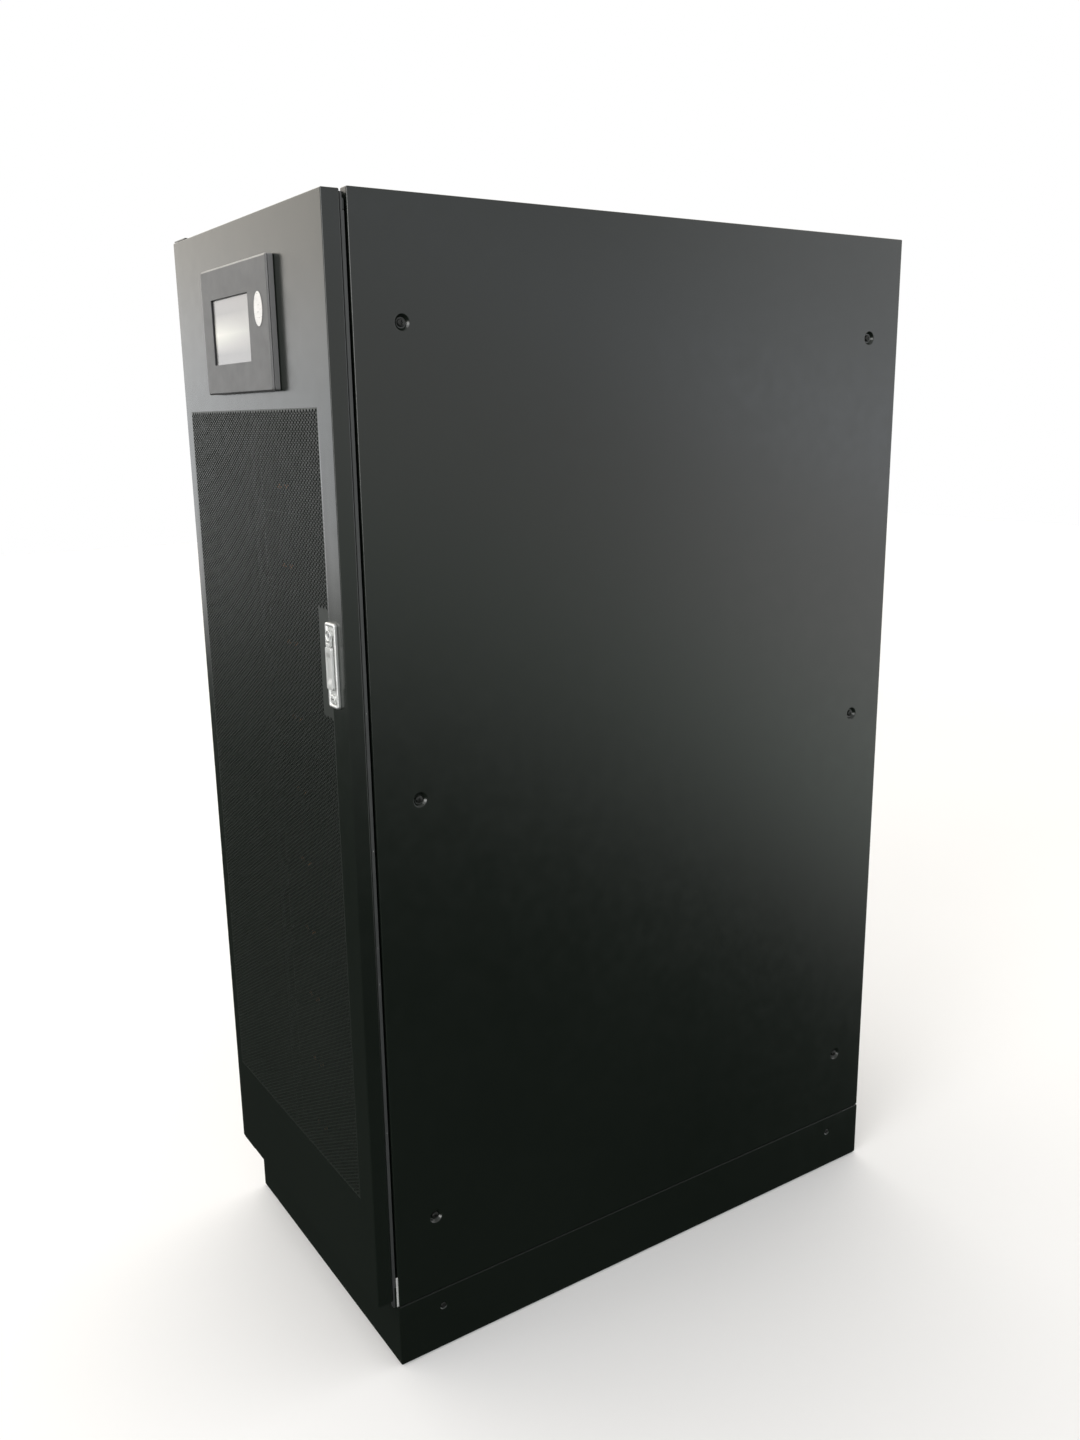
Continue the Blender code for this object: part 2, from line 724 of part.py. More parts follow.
def door_mesh():
    """Perforated sheet set flush in the door's opening, stepped back beside the handle."""
    left = FIELD_X[0] - HALF + GAP
    right = FIELD_X[1] - HALF - GAP
    notch = FIELD_NOTCH_X - HALF - GAP
    outline = [(left, FIELD_Z[0] + GAP), (right, FIELD_Z[0] + GAP), (right, FIELD_NOTCH_Z[0] - GAP),
               (notch, FIELD_NOTCH_Z[0] - GAP), (notch, FIELD_NOTCH_Z[1] + GAP),
               (right, FIELD_NOTCH_Z[1] + GAP), (right, FIELD_Z[1] - GAP), (left, FIELD_Z[1] - GAP)]
    return prism("door_mesh", outline, FRONT, FRONT + SHEET, "Y", "powder_mesh")


def door_gasket():
    """Foam seal round the back of the door."""
    outer = 0.0095
    inner = 0.0190
    front = DOOR_DEPTH + GAP
    back = LIP_FRONT - GAP

    def ring(inset, depth):
        x = HALF - inset
        low = DOOR_BOTTOM + inset
        high = DOOR_TOP - inset
        return [at_depth(-x, depth, low), at_depth(x, depth, low), at_depth(x, depth, high),
                at_depth(-x, depth, high)]

    rings = [ring(outer, front), ring(inner, front), ring(inner, back), ring(outer, back)]
    return loft("door_gasket", rings, "gasket_rubber", closed=True)


def hinges():
    """Corner pivot brackets above and below the door, and the pins that turn in them."""
    pivot = at_depth(PIVOT_X, PIVOT_DEPTH, 0)
    left, right = BRACKET_X
    low = ROOF_TRAY[1] + GAP
    high = low + PLATE
    upper = box("hinge_bracket_upper", at_depth(left, BRACKET_FRONT, low),
                at_depth(right, BRACKET_BACK, high), "powder_black")
    cut_round(upper, pivot, PIN_BORE, low - OVERCUT, high + OVERCUT, "Z")
    top = DOOR_BOTTOM - 0.0008
    front = FRONT + BRACKET_FRONT
    back = FRONT + LIP_FRONT - GAP
    step = BRACKET_STEP
    foot = top - BRACKET_LEG
    outline = [(front, top), (back, top), (back, foot), (back - step, foot),
               (back - step, top - step), (front, top - step)]
    lower = prism("hinge_bracket_lower", outline, left, right, "X", "powder_black")
    cut_round(lower, pivot, PIN_BORE, top - 2 * OVERCUT, top + OVERCUT, "Z")
    profile = ((PIN_RADIUS, high - PIN_REACH), (PIN_RADIUS, high))
    lathe("hinge_pin_upper", profile, pivot, "Z", "zinc_steel", origin=pivot + Vector((0, 0, high)))
    profile = ((PIN_RADIUS, top - step), (PIN_RADIUS, top + PIN_REACH))
    lathe("hinge_pin_lower", profile, pivot, "Z", "zinc_steel", origin=pivot + Vector((0, 0, top)))


# Display unit


def display_unit():
    display_housing()
    display_board()
    touch_screen()
    display_bezel()
    badge()


def display_housing():
    """Shallow case on the door's face, open to the front."""
    x_span = (DISPLAY_X[0] + HOUSING_INSET, DISPLAY_X[1] - HOUSING_INSET)
    z_span = (DISPLAY_Z[0] + HOUSING_INSET, DISPLAY_Z[1] - HOUSING_INSET)

    def place(u, v, w):
        return at_depth(u, -HOUSING_STANDOFF - w, v)

    made = tray("display_housing", x_span, z_span, HOUSING_DEPTH, 0.0, place, "bezel_plastic", HOUSING_WALL)
    cut_cable_hole(made, -0.006, 0.002)
    return made


def display_board():
    low = at_depth(SCREEN_X[0] - 0.020, -BOARD_PROUD[1], SCREEN_Z[0] - 0.010)
    high = at_depth(SCREEN_X[1] + 0.040, -BOARD_PROUD[0], SCREEN_Z[1] + 0.015)
    return box("display_board", low, high, "board_green")


def touch_screen():
    low = at_depth(SCREEN_X[0] - 0.005, -SCREEN_PROUD[1], SCREEN_Z[0] - 0.005)
    high = at_depth(SCREEN_X[1] + 0.005, -SCREEN_PROUD[0], SCREEN_Z[1] + 0.005)
    return box("touch_screen", low, high, "screen_glass")


def display_bezel():
    """Front frame of the display with the screen's window."""
    low = at_depth(DISPLAY_X[0], -BEZEL_PROUD, DISPLAY_Z[0])
    high = at_depth(DISPLAY_X[1], -BEZEL_BACK, DISPLAY_Z[1])
    made = box("display_bezel", low, high, "bezel_plastic")
    cut_box(made, at_depth(SCREEN_X[0], -0.030, SCREEN_Z[0]), at_depth(SCREEN_X[1], -0.005, SCREEN_Z[1]))
    return made


def badge():
    """Plain oval trim plate beside the screen."""
    sides = 28
    outline = []
    for i in range(sides):
        angle = 2 * math.pi * i / sides
        outline.append((BADGE_CENTRE[0] + BADGE_HALF[0] * math.cos(angle),
                        BADGE_CENTRE[1] + BADGE_HALF[1] * math.sin(angle)))
    return prism("oval_badge", outline, FRONT - BADGE_PROUD, FRONT - BEZEL_PROUD - GAP, "Y", "badge_silver")


# Swing handle


def handle_plate():
    """Escutcheon with bores for the spindle and the lock."""
    low = at_depth(HANDLE_X - HANDLE_HALF_WIDTH, -HANDLE_FACE, HANDLE_Z[0])
    high = at_depth(HANDLE_X + HANDLE_HALF_WIDTH, -GAP, HANDLE_Z[1])
    made = box("handle_plate", low, high, "handle_chrome")
    for z, radius in ((SPINDLE_Z, SPINDLE_RADIUS), (LOCK_Z, LOCK_RADIUS)):
        cut_round(made, at_depth(HANDLE_X, 0, z), radius + RUNNING_FIT, -OVERCUT, OVERCUT, "Y")
    return made


def handle_spindle():
    """Turned spindle with a forked head in front and a cam disc behind."""
    centre = at_depth(HANDLE_X, 0, SPINDLE_Z)
    face = -HANDLE_FACE - GAP
    head = -0.0085
    cam = ROD_DEPTH - 0.0035
    profile = ((HEAD_RADIUS, head), (HEAD_RADIUS, face), (SPINDLE_RADIUS, face), (SPINDLE_RADIUS, cam),
               (CAM_RADIUS, cam), (CAM_RADIUS, ROD_DEPTH - 0.0005))
    made = lathe("handle_spindle", profile, centre, "Y", "handle_chrome")
    inner = KNUCKLE_HALF_WIDTH + 0.00025
    for side in (-1, 1):
        x = sorted((HANDLE_X + side * inner, HANDLE_X + side * 0.0082))
        add_box(made, (x[0], FRONT + head + 0.0002, LEVER_PIVOT_Z - 0.0022),
                (x[1], FRONT + face - 0.0002, SPINDLE_Z - 0.002))
    pin = x_rod("pin", LEVER_PIN_RADIUS, inner + 0.001)
    combine(made, pin, "UNION")
    return made


def x_rod(name, radius, half_length, sides=16):
    """A round bar along X through the lever's pivot."""
    pivot = lever_pivot()
    outline = []
    for i in range(sides):
        angle = 2 * math.pi * i / sides
        outline.append((pivot.y + radius * math.cos(angle), pivot.z + radius * math.sin(angle)))
    return prism(name, outline, HANDLE_X - half_length, HANDLE_X + half_length, "X", "handle_chrome")


def lever_pivot():
    return at_depth(HANDLE_X, -LEVER_PIVOT_Y, LEVER_PIVOT_Z)


def handle_lever():
    """Pull-out lever that hangs from the spindle's fork."""
    pivot = lever_pivot()
    front = FRONT - 0.0090
    back = FRONT - HANDLE_FACE - GAP
    top = LEVER_PIVOT_Z - 0.0040
    taper = 0.0020
    outline = [(HANDLE_X - LEVER_HALF_WIDTH, top), (HANDLE_X + LEVER_HALF_WIDTH, top),
               (HANDLE_X + LEVER_HALF_WIDTH, LEVER_END_Z + taper),
               (HANDLE_X + LEVER_HALF_WIDTH - taper, LEVER_END_Z),
               (HANDLE_X - LEVER_HALF_WIDTH + taper, LEVER_END_Z),
               (HANDLE_X - LEVER_HALF_WIDTH, LEVER_END_Z + taper)]
    made = prism("handle_lever", outline, front, back, "Y", "handle_chrome", pivot)
    neck = KNUCKLE_HALF_WIDTH
    reach = KNUCKLE_RADIUS - 0.0001
    add_box(made, (HANDLE_X - neck, pivot.y - reach, top - 0.001),
            (HANDLE_X + neck, pivot.y + reach, LEVER_PIVOT_Z))
    combine(made, x_rod("knuckle", KNUCKLE_RADIUS, neck), "UNION")
    combine(made, x_rod("bore", LEVER_PIN_RADIUS + RUNNING_FIT, neck + 0.001), "DIFFERENCE")
    return made


def lock_cylinder():
    """Key barrel with a slot in its face."""
    centre = at_depth(HANDLE_X, 0, LOCK_Z)
    face = -HANDLE_FACE - 0.0012
    profile = ((LOCK_RADIUS - 0.0006, face), (LOCK_RADIUS, face + 0.0006), (LOCK_RADIUS, 0.0130))
    made = lathe("lock_cylinder", profile, centre, "Y", "zinc_steel")
    cut_box(made, at_depth(HANDLE_X - 0.0045, face - 0.002, LOCK_Z - 0.0009),
            at_depth(HANDLE_X + 0.0045, face + 0.003, LOCK_Z + 0.0009))
    return made


def lock_rods():
    """Two flat rods that the cam draws together, and the guides they slide in."""
    y = (FRONT + ROD_DEPTH, FRONT + ROD_DEPTH + ROD_THICK)
    upper_x = HANDLE_X - ROD_OFFSET
    lower_x = HANDLE_X + ROD_OFFSET - 0.001
    half = ROD_WIDTH / 2
    box("lock_rod_upper", (upper_x - half, y[0], SPINDLE_Z - ROD_OVERLAP),
        (upper_x + half, y[1], ROOF_TRAY[0] - ROD_END_GAP), "zinc_steel")
    box("lock_rod_lower", (lower_x - half, y[0], FLOOR_TRAY[1] + ROD_END_GAP),
        (lower_x + half, y[1], SPINDLE_Z + ROD_OVERLAP), "zinc_steel")
    rod_guide("rod_guide_upper", upper_x, ROD_GUIDE_Z[1], y)
    rod_guide("rod_guide_lower", lower_x, ROD_GUIDE_Z[0], y)


def rod_guide(name, x, z, y):
    """Block on the inside of the door with a slot for its rod."""
    slot = ROD_WIDTH / 2 + GAP
    half = ROD_WIDTH / 2 + ROD_GUIDE_WALL
    height = ROD_GUIDE_HALF_HEIGHT
    made = box(name, (x - half, FRONT + SHEET + GAP, z - height),
               (x + half, y[1] + 0.003, z + height), "bezel_plastic")
    cut_box(made, (x - slot, y[0] - GAP, z - 2 * height), (x + slot, y[1] + GAP, z + 2 * height))
    return made


def build():
    clear_scene()
    base_frame()
    skirts()
    floor_tray()
    cable_gland_plate()
    posts()
    roof_tray()
    side_covers()
    rear_cover()
    rack_rails()
    module_guides()
    battery_modules()
    control_box()
    breaker_lever()
    start_button()
    busbars()
    fan("left", -1)
    fan("right", 1)
    door_shell()
    door_mesh()
    door_gasket()
    hinges()
    display_unit()
    handle_plate()
    handle_spindle()
    handle_lever()
    lock_cylinder()
    lock_rods()


build()
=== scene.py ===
"""Looks of the battery rack cabinet: sheet-metal covers, perforated door, display, swing handle and rack units.

Metres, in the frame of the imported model. Pieces take their places and sizes from the model's own boxes, and the
fine details are given from those or from the door's face.
"""

import json
import random
from contextlib import contextmanager
from math import ceil, cos, pi, radians, sin

import bmesh
import bpy
from mathutils import Matrix, Vector

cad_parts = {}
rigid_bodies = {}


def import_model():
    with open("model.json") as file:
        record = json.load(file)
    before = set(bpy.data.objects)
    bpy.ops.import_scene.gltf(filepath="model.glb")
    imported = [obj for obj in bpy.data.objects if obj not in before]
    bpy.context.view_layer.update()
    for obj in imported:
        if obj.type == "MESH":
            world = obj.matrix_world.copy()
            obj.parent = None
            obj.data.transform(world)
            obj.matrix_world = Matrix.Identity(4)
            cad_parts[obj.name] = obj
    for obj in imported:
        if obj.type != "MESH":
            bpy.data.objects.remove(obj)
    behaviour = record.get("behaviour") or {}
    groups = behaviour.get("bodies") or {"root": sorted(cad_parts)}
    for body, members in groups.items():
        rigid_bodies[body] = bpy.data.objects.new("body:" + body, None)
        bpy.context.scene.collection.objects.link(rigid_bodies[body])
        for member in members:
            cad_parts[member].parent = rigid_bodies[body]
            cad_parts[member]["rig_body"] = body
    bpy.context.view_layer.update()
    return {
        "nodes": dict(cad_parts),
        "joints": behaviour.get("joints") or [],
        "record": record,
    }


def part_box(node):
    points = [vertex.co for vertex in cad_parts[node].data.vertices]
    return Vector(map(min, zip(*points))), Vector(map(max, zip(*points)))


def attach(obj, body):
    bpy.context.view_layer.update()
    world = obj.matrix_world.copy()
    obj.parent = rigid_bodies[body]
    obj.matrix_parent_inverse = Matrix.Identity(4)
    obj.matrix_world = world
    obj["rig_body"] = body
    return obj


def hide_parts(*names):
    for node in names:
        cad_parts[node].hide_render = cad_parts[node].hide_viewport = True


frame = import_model()
NODES = frame["nodes"]
SLOT_OF = {row["node"]: row["material_slot"] for row in frame["record"]["subparts"]}
random.seed(7)

GAP = 0.0003
SHEET = 0.0015
FINE_EDGE = 0.0004
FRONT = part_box("door_shell")[0].y
COVER_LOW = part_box("right_side_cover")[0]
LEFT, RIGHT, AHEAD, BACK = (-1, 0, 0), (1, 0, 0), (0, -1, 0), (0, 1, 0)

# Bends, lips and pressed recesses; a recess is (radius, depth) steps from the face inwards
DOOR_BEND = 0.002
DOOR_LIP = 0.02
COVER_BEND = 0.0023
COVER_LIP = 0.014
ARC_STEPS = 4
DIMPLE_SQUARE = 0.015
DIMPLE_STEPS = 48
COVER_SCREW_INSET = 0.0735
COVER_SCREW_Z = (0.251, 0.957, 1.633)
SKIRT_INSET = 0.0811
SKIRT_INSET_REAR = 0.0865
SKIRT_SCREW_Z = 0.0793
DIMPLE = ((0.0119, 0.0), (0.01145, 0.0001), (0.01105, 0.0004), (0.0107, 0.0008), (0.0085, 0.0033),
          (0.0081, 0.00395), (0.0077, 0.00432), (0.0072, 0.0045), (0.003, 0.0045))
SKIRT_DIMPLE = ((0.0072, 0.0), (0.0069, 0.00015), (0.0056, 0.001), (0.0052, 0.00115), (0.003, 0.00118))

# Frame's edge beside the door: nicks are (height, size)
EDGE_BACK = 0.029
NICKS = ((1.0995, 0.0015), (0.8925, 0.001), (0.74, 0.0006), (0.681, 0.0018), (0.43, 0.0006))
TAB_TOP = 0.167

# Display
DISPLAY_CORNER = 0.0042
TOP_SLOPE = 0.0009
WINDOW_MARGIN = 0.005
WINDOW_CORNER = 0.0012
WINDOW_LEAN = 0.0006
# Widths of the black band at the screen's left and top: painted shadow in the window's recess
SHADOW_BAND_LEFT = 0.0028
SHADOW_BAND_TOP = 0.0012
# Painted reflection band on the screen: its drop below the middle, its reach up and down, its share at the right
# edge, and its colour
REFLECTION_BAND_DROP = 0.004
REFLECTION_BAND_REACH = 0.03
REFLECTION_BAND_RIGHT = 0.25
REFLECTION_BAND_COLOUR = (0.62, 0.61, 0.55)

# Handle's pin, below the lever's top and in front of the door
PIN_DROP = 0.0017
PIN_AHEAD = 0.0072

# Perforation of the door
PITCH = 0.00615
HOLE_FLAT = 0.0049
FIELD_MARGIN = 0.001
SHEET_PARTS = 4

# Rack units; round fittings are (radius, distance behind the face) steps
CASE_HALF = 0.22
HANDLE_X = 0.196
HANDLE_HALF = 0.042
HANDLE_REACH = 0.024
HANDLE_BEND = 0.01
EAR_SCREW = (0.233, 0.051)
HANDLE_FOOT = ((0.0075, 0.0005), (0.0075, -0.0016), (0.0068, -0.0022), (0.003, -0.0022))
TERMINAL = ((0.0125, 0.0005), (0.0125, -0.006), (0.0118, -0.0068), (0.0092, -0.0068), (0.0088, -0.004),
            (0.003, -0.004))
TERMINAL_STUD = ((0.0042, -0.003), (0.0042, -0.0084), (0.0036, -0.009), (0.0008, -0.009))
SMALL_LENS = ((0.0018, 0.0005), (0.0018, -0.001), (0.0013, -0.0016), (0.0003, -0.0018))
LENS = ((0.0024, 0.0005), (0.0024, -0.0012), (0.0016, -0.002), (0.0004, -0.0022))

# Fans
HUB = 0.02
BLADE_TIP = 0.0668

# Stage and camera, fitted to the object
FLOOR = 14.0
LENS_LENGTH = 30.7555
SENSOR = 36.0
CAMERA_X = 1.85588
CAMERA_BEFORE_DOOR = 0.7019
CAMERA_Z = 1.5039
AZIMUTH_PITCH_ROLL = (56.5823, 13.7605, -0.7969)


# Materials


def fill(into, value):
    """Link a socket from another node's output, or set its own value."""
    if isinstance(value, bpy.types.NodeSocket):
        into.id_data.links.new(value, into)
    else:
        into.default_value = value


def add_node(tree, kind, **values):
    made = tree.nodes.new(kind)
    for name, value in values.items():
        fill(made.inputs[name.replace("_", " ")], value)
    return made


def noise(coords, scale, detail):
    made = add_node(coords.id_data, "ShaderNodeTexNoise", Vector=coords, Scale=scale, Detail=detail, Roughness=0.5)
    return made.outputs["Fac"]


def spread(value, low, high, start=0.3, end=0.7):
    """Stretch a value from start..end to low..high."""
    made = add_node(value.id_data, "ShaderNodeMapRange", Value=value, From_Min=start, From_Max=end, To_Min=low,
                    To_Max=high)
    return made.outputs["Result"]


def mixed(factor, first, second):
    """Mix two colours, each a plain colour or a socket."""
    made = factor.id_data.nodes.new("ShaderNodeMix")
    made.data_type = "RGBA"
    fill(made.inputs[0], factor)
    for index, value in ((6, first), (7, second)):
        fill(made.inputs[index], (*value, 1.0) if isinstance(value, tuple) else value)
    return made.outputs[2]


def combined(operation, first, second, kind="ShaderNodeMath"):
    made = first.id_data.nodes.new(kind)
    made.operation = operation
    fill(made.inputs[0], first)
    fill(made.inputs[1], second)
    return made


def object_coords(tree, tall=1.0):
    """Object coordinates, scaled in z so that marks run up and down or across."""
    coords = tree.nodes.new("ShaderNodeTexCoord").outputs["Object"]
    return add_node(tree, "ShaderNodeMapping", Vector=coords, Scale=(1.0, 1.0, tall)).outputs["Vector"]


def finish(name, dark, light, rough, patch, grain, relief, metallic=0.0, streak=45.0, depth=0.0002, tall=1.0,
           **sockets):
    """A surface whose colour drifts in broad patches, whose gloss drifts in smaller ones, with a fine relief."""
    mat = bpy.data.materials.new(name)
    mat.use_nodes = True
    tree = mat.node_tree
    coords = object_coords(tree, tall)
    sockets["Metallic"] = metallic
    sockets["Base_Color"] = mixed(spread(noise(coords, patch, 4.0), 0.0, 1.0), dark, light)
    sockets["Roughness"] = spread(noise(coords, streak, 3.0), *rough)
    sockets["Normal"] = add_node(tree, "ShaderNodeBump", Strength=relief, Distance=depth,
                                 Height=noise(coords, grain, 2.0)).outputs["Normal"]
    for socket, value in sockets.items():
        fill(tree.nodes["Principled BSDF"].inputs[socket.replace("_", " ")], value)
    FINISHES[name] = mat
    return mat


def screen_finish():
    """Pale switched-off panel under glass, with a painted reflection: a lighter band across its middle, fading to the
    right.
    """
    mat = finish("screen_glass", (0.238, 0.234, 0.236), (0.262, 0.256, 0.254), (0.12, 0.18), 9.0, 900.0, 0.01)
    tree = mat.node_tree
    colour = tree.nodes["Principled BSDF"].inputs["Base Color"]
    low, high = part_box("touch_screen")
    x, _, z = add_node(tree, "ShaderNodeSeparateXYZ", Vector=object_coords(tree)).outputs
    middle = (low.z + high.z) / 2 - REFLECTION_BAND_DROP
    up = spread(z, 0.0, 1.0, middle - REFLECTION_BAND_REACH, middle)
    down = spread(z, 1.0, 0.0, middle, middle + REFLECTION_BAND_REACH)
    across = spread(x, 1.0, REFLECTION_BAND_RIGHT, low.x, high.x)
    # Painted reflection: strongest just below the middle, fading up, down and to the right
    painted_reflection = combined("MULTIPLY", combined("MULTIPLY", up, down).outputs[0], across).outputs[0]
    fill(colour, mixed(painted_reflection, colour.links[0].from_socket, REFLECTION_BAND_COLOUR))
    return mat


# A finish: two colours, roughness, scales of patches and grain, relief, and where it matters metal and gloss scale
FINISHES = {}
POWDER = finish("powder_black", (0.0068, 0.0094, 0.0072), (0.0082, 0.011, 0.0086), (0.19, 0.24), 2.2, 1100.0, 0.1,
                depth=0.00012)
MESH_POWDER = finish("powder_mesh", (0.015, 0.0188, 0.0155), (0.018, 0.0218, 0.0182), (0.38, 0.44), 3.0, 1400.0,
                     0.05, Specular_IOR_Level=0.28)
# Lighter powder for the front posts and the latch-edge bead: painted light on the frame's front lip
LIP_POWDER_LIT = finish("powder_lip_painted_light", (0.034, 0.036, 0.036), (0.044, 0.046, 0.046), (0.34, 0.42), 30.0, 1100.0, 0.1)
ZINC = finish("zinc_steel", (0.25, 0.26, 0.27), (0.36, 0.37, 0.38), (0.42, 0.54), 55.0, 400.0, 0.05, 1.0, 90.0,
              tall=0.12)
CHROME = finish("handle_chrome", (0.76, 0.77, 0.76), (0.83, 0.84, 0.83), (0.4, 0.46), 30.0, 700.0, 0.03, 0.9, 160.0,
                tall=0.2)
CHROME_SATIN = finish("handle_satin", (0.62, 0.63, 0.62), (0.68, 0.69, 0.68), (0.52, 0.58), 40.0, 1600.0, 0.04, 0.8,
                      260.0, tall=0.08)
BEZEL = finish("bezel_plastic", (0.086, 0.087, 0.088), (0.098, 0.099, 0.1), (0.46, 0.54), 12.0, 2400.0, 0.1,
               Specular_IOR_Level=0.38)
# Lighter, glossier finish for the bezel's top chamfer: a painted highlight along the display's top edge
BEZEL_TOP_HIGHLIGHT = finish("bezel_painted_highlight", (0.17, 0.165, 0.16), (0.22, 0.215, 0.205), (0.34, 0.42), 14.0, 2400.0, 0.06)
# Lighter grey for the display frame's side walls and its case: painted light on the sides, lighter than the frame's
# face
SIDE_LIT_SHELL = finish("display_shell_painted_light", (0.15, 0.15, 0.152), (0.18, 0.18, 0.182), (0.46, 0.54), 18.0, 2400.0, 0.08,
               tall=0.1)
screen_finish()
BADGE = finish("badge_silver", (0.52, 0.51, 0.5), (0.6, 0.59, 0.57), (0.26, 0.36), 60.0, 900.0, 0.02, 0.2,
               tall=6.0)
finish("gasket_rubber", (0.012, 0.012, 0.012), (0.022, 0.022, 0.022), (0.78, 0.92), 60.0, 1300.0, 0.5)
CASE = finish("module_case", (0.02, 0.021, 0.023), (0.028, 0.029, 0.031), (0.46, 0.56), 5.0, 1200.0, 0.12)
COPPER = finish("copper_bar", (0.62, 0.27, 0.13), (0.82, 0.42, 0.24), (0.26, 0.4), 24.0, 500.0, 0.04, 1.0, 80.0,
                tall=0.2)
FAN = finish("fan_plastic", (0.014, 0.014, 0.015), (0.022, 0.022, 0.023), (0.42, 0.54), 30.0, 1800.0, 0.1)
SWITCH = finish("switch_black", (0.012, 0.012, 0.013), (0.019, 0.019, 0.02), (0.32, 0.42), 60.0, 2500.0, 0.08)
GREEN = finish("button_green", (0.03, 0.36, 0.1), (0.05, 0.44, 0.14), (0.22, 0.3), 120.0, 2500.0, 0.04)
finish("board_green", (0.015, 0.13, 0.05), (0.03, 0.2, 0.08), (0.34, 0.44), 240.0, 800.0, 0.2)
SCREW = finish("screw_black", (0.018, 0.019, 0.018), (0.034, 0.035, 0.033), (0.3, 0.42), 300.0, 2200.0, 0.1, 0.6)
PRIMER = finish("bare_edge", (0.42, 0.43, 0.42), (0.66, 0.67, 0.65), (0.45, 0.6), 500.0, 2000.0, 0.2, 0.3)
ORANGE = finish("terminal_orange", (0.62, 0.17, 0.02), (0.72, 0.21, 0.03), (0.34, 0.44), 80.0, 2500.0, 0.06)
LAMP = finish("status_lamp", (0.06, 0.3, 0.1), (0.08, 0.42, 0.14), (0.14, 0.2), 200.0, 2500.0, 0.02)


# Shapes. A shape is a list of points and a list of polygons on them.


@contextmanager
def opened(mesh):
    """A mesh to edit, written back at the end."""
    bm = bmesh.new()
    bm.from_mesh(mesh)
    yield bm
    bm.to_mesh(mesh)
    bm.free()


def linked(name, data):
    made = bpy.data.objects.new(name, data)
    bpy.context.scene.collection.objects.link(made)
    return made


def as_mesh(name, shape):
    mesh = bpy.data.meshes.new(name)
    mesh.from_pydata([tuple(p) for p in shape[0]], [], shape[1])
    return mesh


def around(count):
    """Angles once round."""
    return [2 * pi * i / count for i in range(count)]


def quarter(steps):
    """Angles over a quarter turn."""
    return [pi / 2 * k / steps for k in range(steps + 1)]


def block(one, other, radius=0.0006):
    """A box with rounded edges, between two opposite corners."""
    low, high = (Vector([pick(pair) for pair in zip(one, other)]) for pick in (min, max))
    bm = bmesh.new()
    bmesh.ops.create_cube(bm, size=1.0)
    bmesh.ops.scale(bm, verts=bm.verts, vec=high - low)
    bmesh.ops.translate(bm, verts=bm.verts, vec=(low + high) / 2)
    bmesh.ops.bevel(bm, geom=bm.edges[:], offset=radius, segments=2, profile=0.5, affect="EDGES")
    bm.verts.index_update()
    shape = ([v.co.copy() for v in bm.verts], [[v.index for v in f.verts] for f in bm.faces])
    bm.free()
    return shape


def bands(count, last):
    """Quads that join rings 0 to last, each of count points."""
    faces = []
    for start in range(0, last * count, count):
        for i in range(count):
            j = (i + 1) % count
            faces.append([start + i, start + j, start + count + j, start + count + i])
    return faces


def skinned(rings, ends=(True, True)):
    """Join rings of equal count with quads, and cap the first and last where asked."""
    count = len(rings[0])
    points = [point for ring in rings for point in ring]
    faces = bands(count, len(rings) - 1)
    if ends[0]:
        faces.append(list(range(count))[::-1])
    if ends[1]:
        faces.append(list(range(len(points) - count, len(points))))
    return points, faces


AXES = {"X": Matrix(((0, 0, 1), (1, 0, 0), (0, 1, 0))), "Y": Matrix(((0, 1, 0), (0, 0, 1), (1, 0, 0))),
        "Z": Matrix.Identity(3)}


def turned(profile, centre, sides, axis="Y", ends=(True, True)):
    """Turn (radius, distance along the axis) steps about an axis."""
    rings = []
    for radius, along in profile:
        rings.append([Vector(centre) + AXES[axis] @ Vector((radius * cos(a), radius * sin(a), along))
                      for a in around(sides)])
    return skinned(rings, ends)


def pipe(path, radius, sides):
    """A round bar along a path."""
    path = [Vector(p) for p in path]
    side = None
    rings = []
    for i, point in enumerate(path):
        ahead = (path[min(i + 1, len(path) - 1)] - path[max(i - 1, 0)]).normalized()
        if side is None:
            side = ahead.orthogonal().normalized()
        side = (side - ahead * side.dot(ahead)).normalized()
        other = ahead.cross(side)
        rings.append([point + (side * cos(a) + other * sin(a)) * radius for a in around(sides)])
    return skinned(rings)


def corner_arc(u, v, corner, start, steps):
    """Points round a corner, over a quarter turn from start degrees."""
    angles = [radians(start + 90 * k / steps) for k in range(steps + 1)]
    return [(u + corner * cos(a), v + corner * sin(a)) for a in angles]


def rounded_outline(half_u, half_v, corner):
    """Points round a rectangle with rounded corners, anticlockwise from the lower left."""
    points = []
    for sign_u, sign_v, start in ((-1, -1, 180), (1, -1, 270), (1, 1, 0), (-1, 1, 90)):
        points += corner_arc(sign_u * (half_u - corner), sign_v * (half_v - corner), corner, start, 6)
    return points


def face_size(low, high):
    """The centre and half sizes, in x and z, of a box on the door."""
    return ((low.x + high.x) / 2, (low.z + high.z) / 2), (high.x - low.x) / 2, (high.z - low.z) / 2


def on_face(centre, outline, ahead):
    """Put an outline about a centre at a distance in front of the door."""
    return [Vector((centre[0] + u, FRONT - ahead, centre[1] + v)) for u, v in outline]


def plate_rings(size, corner, steps):
    """Rings on the door's face for (inset, distance in front of the face) steps."""
    centre, half_u, half_v = size
    rings = []
    for inset, ahead in steps:
        outline = rounded_outline(half_u - inset, half_v - inset, max(corner - inset, 0.0008))
        rings.append(on_face(centre, outline, ahead))
    return rings


def shaded(made, angle, keep_sharp=True, weight=60):
    """Smooth shading with hard edges kept and flat faces left flat."""
    made.data.set_sharp_from_angle(angle=radians(angle))
    weighted = made.modifiers.new("normals", "WEIGHTED_NORMAL")
    weighted.keep_sharp = keep_sharp
    weighted.weight = weight


